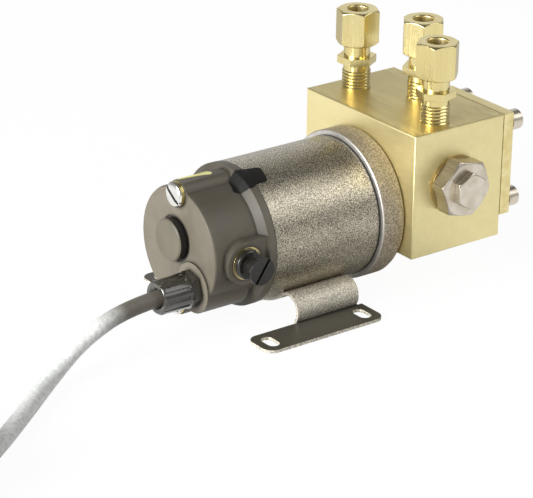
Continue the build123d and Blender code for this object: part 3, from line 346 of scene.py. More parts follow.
@dataclass(frozen=True)
class DrawnMetal(Finish):
    """Bare metal with fine tool lines along one direction.

    With marked_top the faces that look up are streaked deep and painted darker as shade, and the others
    only faintly.
    """

    name: str
    base: Colour
    tint: Colour
    along: Axis
    roughness: float
    line: float = 0.0005
    depth: float = 0.00001
    stain: float = 0.2
    marked_top: bool = False

    def recipe(self, shader: Shader, at: Socket) -> dict[str, Feed]:
        lines_at = shader.place(tuple(1.0 if a == 0.0 else 0.03 for a in self.along.value))
        lines = shader.noise(lines_at, 1 / self.line, 3.0, 0.65)
        broad = shader.noise(lines_at, 0.09 / self.line, 2.0, 0.5)
        clouds = shader.noise(at, 55.0, 4.0, 0.6)
        deep = scaled(self.base, 0.72)
        if self.marked_top:
            # Faces that look up get deeper streaks and a darker tone: real brushing, darkened on top as
            # painted shade
            level = shader.span(shader.facing_up(), 0.3, 0.9, 0.22, 1.0)
            streaks = shader.math("MULTIPLY", shader.span(broad, 0.3, 0.6, 0.35, 1.25), level)
            fine = shader.math("MULTIPLY", shader.span(lines, 0.42, 0.62, 0.0, 0.9), level)
            tone = shader.mix(fine, shader.mix(streaks, self.base, self.tint), deep)
        else:
            tone = shader.mix(shader.span(broad, 0.35, 0.65, 0.0, 1.0), self.base, self.tint)
        marks = shader.span(clouds, 0.5, 0.8, 0.0, self.stain)
        return dict(
            Base_Color=shader.mix(marks, tone, deep),
            Roughness=shader.span(lines, 0.3, 0.7, self.roughness - 0.07, self.roughness + 0.10),
            Metallic=1.0,
            Normal=shader.bump(lines, 0.35, self.depth),
        )


@dataclass(frozen=True)
class Moulded(Finish):
    """Moulded plastic or rubber with a fine grain."""

    name: str
    base: Colour
    roughness: float
    grain: float = 0.0006
    depth: float = 0.00002

    def recipe(self, shader: Shader, at: Socket) -> dict[str, Feed]:
        grain = shader.noise(at, 1 / self.grain, 2.0, 0.6)
        clouds = shader.noise(at, 90.0, 3.0, 0.5)
        stops = [(0.3, scaled(self.base, 0.8)), (0.7, scaled(self.base, 1.25))]
        return dict(
            Base_Color=shader.ramp(clouds, stops),
            Roughness=shader.span(clouds, 0.3, 0.7, self.roughness - 0.05, self.roughness + 0.1),
            Normal=shader.bump(grain, 0.35, self.depth),
        )


@dataclass(frozen=True)
class GlossNylon(Finish):
    """Glossy black nylon whose ridges and edges are painted pale as highlights."""

    name: str
    base: Colour
    roughness: float
    coat: float
    sheen: float
    highlight_edges: Pair = (0.57, 0.68)

    def recipe(self, shader: Shader, at: Socket) -> dict[str, Feed]:
        grain = shader.noise(at, 1400.0, 2.0, 0.6)
        clouds = shader.noise(at, 240.0, 3.0, 0.5)
        tone = shader.ramp(clouds, [(0.35, self.base), (0.7, scaled(self.base, 1.7))])
        # Pale ridges and edges: painted highlight
        ridge = shader.span(shader.edge_wear(), *self.highlight_edges, 0.0, 0.9)
        return dict(
            Base_Color=shader.mix(ridge, tone, scaled(self.base, 7.0)),
            Roughness=shader.span(clouds, 0.3, 0.7, self.roughness - 0.05, self.roughness + 0.08),
            Coat_Weight=self.coat,
            Coat_Roughness=0.10,
            Coat_IOR=1.5,
            Specular_IOR_Level=self.sheen,
            Normal=shader.bump(grain, 0.25, 0.00002),
        )


@dataclass(frozen=True)
class DarkToPaleSheath(Finish):
    """Cord sheath that is dark at the gland and pale further out."""

    name: str = "cord_sheath_dark_to_pale"
    dark: Colour = (0.145, 0.130, 0.104)
    pale: Colour = (0.94, 0.955, 0.93)
    fade_from: float = -0.088
    fade_to: float = -0.107

    def recipe(self, shader: Shader, at: Socket) -> dict[str, Feed]:
        fade = shader.span(shader.parts(at)[0], self.fade_to, self.fade_from, 1.0, 0.0)
        mottle = shader.noise(at, 520.0, 4.0, 0.65)
        pale_stretch = shader.ramp(mottle, [(0.35, scaled(self.pale, 0.72)), (0.6, self.pale)])
        sheath = shader.ramp(mottle, [(0.3, scaled(self.dark, 0.8)), (0.7, self.dark)])
        return dict(
            Base_Color=shader.mix(fade, sheath, pale_stretch),
            Roughness=shader.span(mottle, 0.3, 0.7, 0.42, 0.58),
            Normal=shader.bump(mottle, 0.5, 0.00020),
        )


@dataclass(frozen=True)
class LacquerSticker(Finish):
    """Smooth black label film with a faint ripple and no print."""

    name: str = "label_film"
    black: Colour = (0.008, 0.008, 0.008)
    dusty: Colour = (0.020, 0.019, 0.018)
    sheen: float = 0.14

    def recipe(self, shader: Shader, at: Socket) -> dict[str, Feed]:
        ripple = shader.noise(at, 260.0, 3.0, 0.55)
        dust = shader.noise(at, 1500.0, 2.0, 0.6)
        return dict(
            Base_Color=shader.ramp(dust, [(0.3, self.black), (0.75, self.dusty)]),
            Roughness=shader.span(ripple, 0.3, 0.7, 0.45, 0.58),
            Specular_IOR_Level=self.sheen,
            Normal=shader.bump(ripple, 0.3, 0.00012),
        )


def metal(*values: object, **more: object) -> Material:
    """Make one drawn metal."""
    return DrawnMetal(*values, **more).make()


class Finishes:
    """All finishes of the pump, each made once."""

    def __init__(self) -> None:
        """Make every material."""
        brass: tuple[Colour, Colour] = ((0.88, 0.78, 0.43), (0.74, 0.62, 0.29))
        self.tube = HammerPaint(
            "tube_hammer_paint", (0.042, 0.038, 0.027), (0.72, 0.657, 0.52), cell=0.0005,
            roughness=0.25, metallic=0.92, depth=0.00012,
        ).make()
        self.flange = HammerPaint(
            "flange_hammer_paint", (0.20, 0.165, 0.115), (0.58, 0.51, 0.40), 0.0008, 0.5
        ).make()
        self.bracket = HammerPaint(
            "bracket_hammer_paint", (0.36, 0.33, 0.27), (0.96, 0.90, 0.77), 0.0007, 0.48
        ).make()

        # The cover is darkened towards its crown as painted shade
        self.cover = SatinPaint("cover_satin_paint", (0.143, 0.126, 0.095), crown=0.85).make()
        # Darker paint for the cover's steps: painted shade
        self.cover_step_shade = SatinPaint("cover_step_shade_paint", (0.082, 0.073, 0.055)).make()
        self.cap = SatinPaint("cap_satin_paint", (0.132, 0.120, 0.088), rub_and_highlight=0.0).make()
        # Near black paint for the rear cap's side: painted shade
        self.cap_side_shade = SatinPaint("cap_side_shade_paint", (0.018, 0.017, 0.015), 0.30).make()
        self.foot = SatinPaint("foot_satin_paint", (0.060, 0.055, 0.042), 0.40).make()

        self.brass = metal(
            # The block's top is painted darker as shade, over its real streaks
            "block_brass", *brass, Axis.Y, 0.44, 0.00035, 0.000012, 0.14, marked_top=True
        )
        self.plate_brass = metal("plate_brass", *brass, Axis.Y, 0.32, 0.00035, 0.000012, 0.35)
        self.bright_brass = metal(
            "turned_brass", (0.82, 0.71, 0.36), (0.76, 0.63, 0.28), Axis.Z, 0.22, 0.0008, 0.000005, 0.35
        )
        self.pale_brass = metal(
            "bore_brass", (0.90, 0.78, 0.42), (0.84, 0.70, 0.34), Axis.Z, 0.42, stain=0.1
        )
        # Darker brass for thread grooves: painted shade
        self.groove_brass = metal(
            "groove_brass", (0.42, 0.30, 0.11), (0.34, 0.23, 0.08), Axis.Z, 0.45
        )
        self.dull_copper = metal(
            "washer_copper", (0.50, 0.39, 0.165), (0.42, 0.30, 0.135), Axis.Y, 0.40, 0.0004
        )
        self.nickel = metal(
            "dull_nickel", (0.70, 0.64, 0.54), (0.58, 0.52, 0.42), Axis.Y, 0.30, stain=0.25
        )
        self.zinc = metal(
            "bright_zinc", (0.88, 0.87, 0.84), (0.80, 0.78, 0.73), Axis.X, 0.18, 0.0005, 0.000008, 0.1
        )
        self.yellow_zinc = metal(
            "yellow_zinc", (0.58, 0.48, 0.20), (0.46, 0.36, 0.14), Axis.X, 0.30, 0.0006
        )
        self.machined = metal(
            "machined_alloy", (0.70, 0.68, 0.64), (0.60, 0.57, 0.52), Axis.X, 0.46, 0.0004, stain=0.15
        )
        self.copper = metal("copper", (0.80, 0.42, 0.24), (0.70, 0.34, 0.18), Axis.X, 0.30, 0.0004)
        self.bronze = metal(
            "bearing_bronze", (0.62, 0.42, 0.20), (0.54, 0.36, 0.17), Axis.X, 0.36, stain=0.25
        )
        self.steel = metal(
            "ground_steel", (0.60, 0.60, 0.59), (0.52, 0.52, 0.51), Axis.X, 0.24, 0.0003, 0.000006, 0.15
        )
        self.spring_steel = metal(
            "spring_steel", (0.42, 0.42, 0.42), (0.34, 0.34, 0.34), Axis.Y, 0.34, 0.0004
        )
        self.laminate = metal(
            "core_steel", (0.34, 0.34, 0.35), (0.26, 0.26, 0.27), Axis.Y, 0.40, depth=0.00002
        )

        self.gloss_black = GlossNylon("gland_gloss_nylon", (0.028, 0.025, 0.019), 0.20, 0.8, 0.6).make()
        self.cap_plastic = GlossNylon("brush_cap_plastic", (0.011, 0.010, 0.008), 0.24, 0.3, 0.5).make()
        # Dark paint for screw slots: painted shade
        self.slot_shade = Moulded("slot_shade_paint", (0.030, 0.026, 0.018), 0.5).make()
        # Yellow strip on the rib: painted highlight
        self.yellow_rib_highlight = Moulded("yellow_rib_highlight", (0.80, 0.76, 0.30), 0.45).make()
        self.tie_plastic = Moulded("strap_plastic", (0.020, 0.020, 0.020), 0.35).make()
        self.rubber = Moulded("seal_rubber", (0.018, 0.018, 0.018), 0.55).make()
        self.ferrite = Moulded("magnet_ferrite", (0.035, 0.036, 0.040), 0.50).make()
        self.carbon = Moulded("brush_carbon", (0.030, 0.030, 0.032), 0.60).make()
        self.varnish_wire = Moulded("varnished_wire", (0.42, 0.16, 0.06), 0.30).make()
        self.red_core = Moulded("red_core", (0.42, 0.03, 0.02), 0.35).make()
        self.sheath = DarkToPaleSheath().make()
        self.sticker = LacquerSticker().make()


# --- Modelling by hand ---


class Bench:
    """The work bench: starts, shapes and finishes pieces with the modelling operators."""

    same_point = 0.000002
    same_plane = math.radians(0.6)
    sharp = math.radians(38)

    def mode(self, mode: str) -> None:
        """Switch the active piece to EDIT or OBJECT mode."""
        bpy.ops.object.mode_set(mode=mode)

    def deselect(self) -> None:
        """Deselect all objects and leave edit mode."""
        if bpy.context.object is not None and bpy.context.object.mode != "OBJECT":
            self.mode("OBJECT")
        for item in bpy.context.selected_objects:
            item.select_set(False)

    def take(self, item: Item) -> None:
        """Make one object the only selected and the active one."""
        self.deselect()
        item.select_set(True)
        bpy.context.view_layer.objects.active = item

    def start(self, name: str, add: Callable[..., object], **options: object) -> Item:
        """Start a piece from a primitive at its size and place.

        Args:
            name: Name of the new piece.
            add: The primitive's operator.
            **options: Its size and place.

        Returns:
            The new object.
        """
        self.deselect()
        add(**options)
        item = bpy.context.object
        item.name = name
        item.data.name = name
        return item

    def modify(self, item: Item, kind: str, **options: object) -> None:
        """Add a modifier with its options and apply it."""
        self.take(item)
        modifier = item.modifiers.new(kind.lower(), kind)
        for key, value in options.items():
            setattr(modifier, key, value)
        bpy.ops.object.modifier_apply(modifier=modifier.name)

    def reshape(self, item: Item, move: Callable[[Vector], Point]) -> None:
        """Move every corner of a piece.

        Args:
            item: The piece, which is the active one.
            move: Gives the new place of a corner for its old one.
        """
        self.mode("EDIT")
        net = bmesh.from_edit_mesh(item.data)
        for vertex in net.verts:
            vertex.co = move(vertex.co)
        bmesh.update_edit_mesh(item.data)
        self.mode("OBJECT")

    def smooth(self, item: Item, angle: float) -> Item:
        """Shade a piece smooth, with edges over an angle in degrees left sharp."""
        self.take(item)
        bpy.ops.object.shade_smooth_by_angle(angle=math.radians(angle))
        return item

    def soft_copy(
        self, node: str, material: Material, width: float, segments: int = 2, dissolve: bool = True
    ) -> Item:
        """Stand a copy in for a CAD node, with its triangles joined and its edges softened.

        Args:
            node: The CAD node.
            material: The copy's finish.
            width: Width of the softened edges.
            segments: Steps across a softened edge.
            dissolve: Whether flat faces lose their inner edges.

        Returns:
            The copy.
        """
        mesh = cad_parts[node].data.copy()
        item = bpy.data.objects.new(node + "_dressed", mesh)
        bpy.context.scene.collection.objects.link(item)
        mesh.materials.clear()
        self.take(item)
        bpy.ops.mesh.customdata_custom_splitnormals_clear()
        self.mode("EDIT")
        bpy.ops.mesh.select_all(action="SELECT")
        bpy.ops.mesh.remove_doubles(threshold=self.same_point)
        if dissolve:
            bpy.ops.mesh.dissolve_limited(angle_limit=self.same_plane)
        self.mode("OBJECT")
        self.modify(
            item, "BEVEL", width=width, segments=segments, limit_method="ANGLE",
            angle_limit=self.sharp, use_clamp_overlap=False, harden_normals=False,
        )
        self.smooth(item, 40.0)
        self.modify(item, "WEIGHTED_NORMAL", mode="FACE_AREA", weight=60, keep_sharp=True)
        return self.finish(item, material, [node])

    def repaint(self, item: Item, material: Material, test: FaceTest) -> None:
        """Give the faces that pass a test another finish.

        Args:
            item: The piece, which has its main finish already.
            material: The other finish.
            test: Tells whether a face is meant.
        """
        item.data.materials.append(material)
        self.take(item)
        self.mode("EDIT")
        bpy.ops.mesh.select_mode(type="FACE")
        bpy.ops.mesh.select_all(action="DESELECT")
        net = bmesh.from_edit_mesh(item.data)
        meant = [face for face in net.faces if test(face)]
        for face in meant:
            face.select_set(True)
        net.select_flush(True)
        bmesh.update_edit_mesh(item.data)
        item.active_material_index = len(item.data.materials) - 1
        if meant:
            bpy.ops.object.material_slot_assign()
        self.mode("OBJECT")

    def lathe(self, name: str, outline: Sequence[Pair], place: Point, axis: Axis, steps: int) -> Item:
        """Turn a closed outline about a line.

        Args:
            name: Name of the new piece.
            outline: Radius and height of each corner.
            place: Foot of the line.
            axis: Direction of the line, X or Z.
            steps: Steps round the line.

        Returns:
            The turned piece.
        """
        item = self.start(
            name, bpy.ops.mesh.primitive_circle_add, vertices=len(outline), radius=0.01, location=place
        )
        corners = iter((r, 0.0, h) if axis is Axis.Z else (h, 0.0, r) for r, h in outline)
        self.reshape(item, lambda _: next(corners))
        self.mode("EDIT")
        bpy.ops.mesh.select_all(action="SELECT")
        bpy.ops.mesh.spin(steps=steps, angle=math.tau, center=place, axis=axis.value)
        bpy.ops.mesh.select_all(action="SELECT")
        bpy.ops.mesh.remove_doubles(threshold=self.same_point)
        bpy.ops.mesh.normals_make_consistent(inside=False)
        self.take(item)
        bpy.ops.object.transform_apply(location=True, rotation=True, scale=True)
        return self.smooth(item, 34.0)

    def join(self, items: Sequence[Item], name: str) -> Item:
        """Join pieces into one object."""
        self.deselect()
        for item in items:
            item.select_set(True)
        bpy.context.view_layer.objects.active = items[0]
        bpy.ops.object.join()
        items[0].name = name
        return items[0]

    def finish(
        self, item: Item, material: Material, replaces: Sequence[str] = ()
    ) -> Item:
        """Give a piece its finish and hang it on its body.

        Args:
            item: The piece.
            material: Its finish.
            replaces: CAD nodes that it stands for.

        Returns:
            The same piece.
        """
        item.data.materials.clear()
        item.data.materials.append(material)
        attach(item, Body.UNIT.value)
        if replaces:
            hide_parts(*replaces)
        return item


bench = Bench()


def paint_node(node: str, material: Material) -> None:
    """Give a CAD node a finish and leave its mesh as it is.

    Args:
        node: The CAD node.
        material: The finish.
    """
    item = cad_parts[node]
    for place in item.material_slots:
        place.material = material
    if not item.material_slots:
        item.data.materials.append(material)


# --- Studio ---


@dataclass(frozen=True)
class Lamp:
    """One soft square lamp."""

    name: str
    place: Point
    aim: Point
    size: float
    watts: float

    def hang(self) -> None:
        """Hang the lamp where it points at its aim."""
        data = bpy.data.lights.new(self.name, "AREA")
        data.energy = self.watts
        data.size = self.size
        lamp = bpy.data.objects.new(self.name, data)
        lamp.location = self.place
        away = Vector(self.place) - Vector(self.aim)
        lamp.rotation_euler = away.to_track_quat("Z", "Y").to_euler()
        bpy.context.scene.collection.objects.link(lamp)


@dataclass
class Studio:
    """Camera, lamps and the pale floor.

    The floor's reflection is dimmed by the sum of x and y, towards the right of the picture, and
    near one spot in front of the tube. Each dimming is a range and the values at its two ends.
    """

    eye: Point = (-0.6728, -0.8995, 0.5094)
    turn: float = -0.644319
    rise: float = 0.406330
    roll: float = 0.014722
    lens: float = 172.77
    lamps: tuple[Lamp, ...] = (
        Lamp("key_lamp", (-1.30, -0.10, 0.52), (0.02, 0.0, 0.05), 0.7, 32.0),
        Lamp("fill_lamp", (0.72, -0.70, 0.86), (0.02, 0.0, 0.05), 0.75, 3.5),
        Lamp("back_lamp", (0.85, 1.10, 0.62), (0.05, 0.0, 0.06), 1.2, 2.2),
    )
    floor_size: float = 8.0
    floor_z: float = -0.0002
    floor_grey: Colour = (0.50, 0.50, 0.50)
    glow: float = 1.06
    glow_share: float = 0.90
    right_dim: tuple[float, float, float, float] = (0.16, 0.42, 1.0, 0.40)
    near_spot: Point = (0.035, -0.060, 0.0)
    near_dim: tuple[float, float, float, float] = (0.05, 0.09, 0.05, 1.0)
    room_low: tuple[float, Colour] = (0.02, (0.46, 0.46, 0.46))
    room_high: tuple[float, Colour] = (0.75, (0.15, 0.15, 0.15))

    def add_camera(self) -> None:
        """Put the camera where the photographer stood."""
        data = bpy.data.cameras.new("camera")
        data.sensor_fit = "HORIZONTAL"
        data.sensor_width = 36.0
        data.lens = self.lens
        data.clip_start = 0.01
        data.clip_end = 50.0
        camera = bpy.data.objects.new("camera", data)
        level = math.cos(self.rise)
        back = Vector((math.sin(self.turn) * level, -math.cos(self.turn) * level, math.sin(self.rise)))
        right = Vector((math.cos(self.turn), math.sin(self.turn), 0.0))
        up = back.cross(right)
        c, s = math.cos(self.roll), math.sin(self.roll)
        side = c * right + s * up
        top = -s * right + c * up
        turn = Matrix((side, top, back)).transposed().to_4x4()
        camera.matrix_world = Matrix.Translation(Vector(self.eye)) @ turn
        bpy.context.scene.collection.objects.link(camera)
        bpy.context.scene.camera = camera

    def floor_finish(self) -> Material:
        """Matt grey that glows nearly white to the camera, and to metal where it isn't dimmed.

        Returns:
            The floor's material.
        """
        material = bpy.data.materials.new("pale_floor")
        nodes = Nodes(material, "OutputMaterial")
        rays = nodes.add("LightPath").outputs
        at = nodes.add("TexCoord").outputs["Object"]
        x, y, _ = nodes.parts(at)
        rightward = nodes.span(nodes.math("ADD", x, y), *self.right_dim)
        gap = nodes.add("VectorMath")
        gap.operation = "DISTANCE"
        nodes.feed(gap.inputs[0], at)
        nodes.feed(gap.inputs[1], self.near_spot)
        nearby = nodes.span(gap.outputs["Value"], *self.near_dim)
        dimmed = nodes.math("MULTIPLY", rightward, nearby)
        mirrored = nodes.math("MULTIPLY", rays["Is Glossy Ray"], dimmed)
        seen = nodes.math("MAXIMUM", rays["Is Camera Ray"], mirrored)
        matt = nodes.add("BsdfDiffuse", Color=self.floor_grey)
        glow = nodes.add("Emission", Color=(1.0, 1.0, 1.0), Strength=self.glow)
        mix = nodes.add("MixShader")
        share = nodes.math("MULTIPLY", seen, self.glow_share)
        for index, socket in enumerate((share, matt.outputs[0], glow.outputs[0])):
            nodes.feed(mix.inputs[index], socket)
        nodes.end_with(mix.outputs[0])
        return material

    def add_floor(self) -> None:
        """Lay the pale floor, which keeps a soft shadow."""
        bench.deselect()
        bpy.ops.mesh.primitive_plane_add(size=self.floor_size, location=(0.0, 0.0, self.floor_z))
        floor = bpy.context.object
        floor.name = "floor"
        floor.data.materials.append(self.floor_finish())

    def add_world(self) -> None:
        """Fill the room with even light that darkens towards the ceiling."""
        world = bpy.data.worlds.new("room")
        bpy.context.scene.world = world
        nodes = Nodes(world, "OutputWorld")
        height = nodes.parts(nodes.add("TexCoord").outputs["Generated"])[2]
        light = nodes.add("Background", Color=nodes.ramp(height, [self.room_low, self.room_high]))
        nodes.end_with(light.outputs[0])

    def build(self) -> None:
        """Set up the whole studio."""
        bpy.context.scene.view_settings.view_transform = "Standard"
        self.add_camera()
        self.add_floor()
        self.add_world()
        for lamp in self.lamps:
            lamp.hang()
        log.info("studio ready")


# --- Sub-assemblies ---


@dataclass
class Assembly:
    """Sub-assembly that is dressed with the pump's finishes."""

    finishes: Finishes


@dataclass
class Cord(Assembly):
    """The supply cord, its put-away coil and its far end."""

    radius: float = 0.004
    coil_radius: float = 0.044
    coil_rise: float = 0.0082
    coil_turns: int = 3
    per_turn: int = 12
    step_up: int = 4
    heading_angle: float = 211.5
    coil_lead: float = 0.021
    tie_t: float = 0.0006
    tie_gap: float = 0.0001
    sleeve_radius: float = 0.0044
    run: list[Point] = field(
        default_factory=lambda: [
            (-0.0560, -0.0132, 0.0232),
            (-0.0835, -0.0132, 0.0232),
            (-0.1110, -0.0155, 0.0152),
            (-0.1340, -0.0230, 0.0040),
            (-0.1570, -0.0420, 0.0040),
            (-0.1847, -0.0640, 0.0040),
            (-0.2045, -0.0780, 0.0040),
            (-0.2245, -0.0913, 0.0040),
        ]
    )

    def route(self) -> list[Vector]:
        """Points of the cord from the gland to the sleeve at its far end.

        Returns:
            The control points of its line.
        """
        heading_turn = math.radians(self.heading_angle)
        heading = Vector((math.cos(heading_turn), math.sin(heading_turn), 0))
        right = Vector((heading.y, -heading.x, 0.0))
        half_step = math.pi / self.per_turn
        vertex = self.coil_radius / math.cos(half_step)
        points = [Vector(p) for p in self.run]
        entry = points[-1] + heading * self.coil_lead
        centre = entry - heading * (vertex * math.sin(half_step)) + right * self.coil_radius
        centre.z = 0.0
        last = self.coil_turns * self.per_turn + 3
        for k in range(last + 1):
            turn = half_step * (2 * k + 1)
            spoke = heading * math.sin(turn) - right * math.cos(turn)
            level, along = divmod(k, self.per_turn)
            step = max(0, along - (self.per_turn - self.step_up)) / self.step_up
            height = self.tie_t + self.radius + self.tie_gap + self.coil_rise * (level + step)
            points.append(centre + spoke * vertex + Vector((0.0, 0.0, height)))
        out_turn = half_step * (2 * last + 2)
        out = heading * math.cos(out_turn) + right * math.sin(out_turn)
        lean = right * math.cos(out_turn) - heading * math.sin(out_turn)
        sleeve_z = self.tie_t + self.coil_turns * self.coil_rise + self.sleeve_radius
        middle = points[-1] + out * 0.017 + lean * 0.002
        end = middle + out * 0.014 + lean * 0.006
        points.append(Vector((middle.x, middle.y, sleeve_z)))
        points.append(Vector((end.x, end.y, sleeve_z)))
        return points

    def build(self) -> None:
        """Draw the cord as one smooth spline along its route."""
        data = bpy.data.curves.new("cord_sheath", "CURVE")
        data.dimensions = "3D"
        data.bevel_depth = self.radius
        data.bevel_resolution = 6
        data.resolution_u = 8
        data.use_fill_caps = True
        route = self.route()
        spline = data.splines.new("NURBS")
        spline.points.add(len(route) - 1)
        for point, place in zip(spline.points, route):
            point.co = (*place, 1.0)
        spline.order_u = 3
        spline.use_endpoint_u = True
        cord = bpy.data.objects.new("cord_sheath", data)
        bpy.context.scene.collection.objects.link(cord)
        data.materials.append(self.finishes.sheath)
        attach(cord, Body.UNIT.value)
        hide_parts("cord_run", "cord_coil", "cord_tail")
        paint_node("coil_tie", self.finishes.tie_plastic)
        paint_node("cord_sleeve", self.finishes.rubber)
        paint_node("cord_cores", self.finishes.red_core)
        paint_node("ring_terminals", self.finishes.zinc)
        log.info("cord laid with %d route points", len(route))


class Film:
    """Thin film on the end cover, bent from a flat grid whose sides run from -1 to 1."""

    name: str
    grid: tuple[int, int]
    thickness: float
    rise: float

    def lay(self, flat: Vector) -> Point:
        """Place on the cover of a point of the flat grid."""
        raise NotImplementedError

    def build(self, material: Material) -> None:
        """Lay the film on the cover.

        Args:
            material: Its finish.
        """
        item = bench.start(
            self.name, bpy.ops.mesh.primitive_grid_add,
            x_subdivisions=self.grid[0], y_subdivisions=self.grid[1], size=2.0,
        )
        bench.reshape(item, self.lay)
        bench.modify(item, "SOLIDIFY", thickness=self.thickness, offset=self.rise)
        bench.take(item)
        bench.mode("EDIT")
        bpy.ops.mesh.select_all(action="SELECT")
        bpy.ops.mesh.normals_make_consistent(inside=False)
        bench.smooth(item, 50.0)
        bench.finish(item, material)


@dataclass(frozen=True)
class CoverFilm(Film):
    """Label film that bends over the cover's shoulder.

    Its corners are given by their place along the motor and their angle in degrees above the
    level on the near side. One side sags a little in the middle.
    """

    name: str
    corners: tuple[Pair, ...]
    corner_radius: float
    sag: float = 3.6
    sag_at: float = 0.36
    sag_width: float = 0.22
    grid: tuple[int, int] = (40, 18)
    thickness: float = 0.00015
    rise: float = 0.0
    axis_z: float = 0.0387
    mean_radius: float = 0.031
    profile: tuple[Pair, ...] = (
        (-0.0500, 0.0298), (-0.0239, 0.0300), (-0.0230, 0.0307), (-0.0210, 0.0346),
        (-0.0205, 0.0348), (-0.0170, 0.0348), (-0.0158, 0.0346), (-0.0060, 0.0346),
    )

    def surface(self, x: float) -> float:
        """Radius of the motor's surface at a place along it."""
        stops = self.profile
        for (x0, r0), (x1, r1) in zip(stops, stops[1:]):
            if x <= x1:
                share = min(1.0, max(0.0, (x - x0) / (x1 - x0)))
                return r0 + (r1 - r0) * share
        return stops[-1][1]

    def lay(self, flat: Vector) -> Point:
        (x00, a00), (x01, a01), (x11, a11), (x10, a10) = self.corners
        half_x = abs(x11 - x01) / 2
        half_a = abs(a00 - a01) / 2 * math.pi / 180 * self.mean_radius
        u, v = flat.x, flat.y
        over = max(0.0, abs(v) * half_a - (half_a - self.corner_radius))
        inset = self.corner_radius - math.sqrt(max(0.0, self.corner_radius**2 - over**2))
        u *= (half_x - inset) / half_x
        s, t = (u + 1) / 2, (1 - v) / 2
        x = (1 - s) * ((1 - t) * x00 + t * x01) + s * ((1 - t) * x10 + t * x11)
        a = (1 - s) * ((1 - t) * a00 + t * a01) + s * ((1 - t) * a10 + t * a11)
        bow = math.exp(-(((s - self.sag_at) / self.sag_width) ** 2))
        a = math.radians(a - self.sag * t * bow)
        r = self.surface(x) + self.thickness
        return (x, -r * math.cos(a), self.axis_z + r * math.sin(a))


@dataclass(frozen=True)
class RibHighlight(Film):
    """Pale yellow strip along the flat of the upper rib, a painted highlight for the shine of yellow
    zinc there.
    """

    name: str = "yellow_rib_highlight"
    grid: tuple[int, int] = (24, 6)
    thickness: float = 0.00012
    rise: float = 1.0
    x0: float = -0.0470
    x1: float = -0.0308
    far: float = 0.0026
    near0: float = 0.0014
    near1: float = -0.0013
    top: float = 0.0719
    round_end: float = 0.0016

    def lay(self, flat: Vector) -> Point:
        s, t = (flat.x + 1) / 2, (flat.y + 1) / 2
        near = self.near0 + (self.near1 - self.near0) * s * s
        end = self.round_end * (1.0 - (2 * t - 1) ** 2)
        return (self.x0 + (self.x1 - self.x0 + end) * s, near + (self.far - near) * t, self.top)


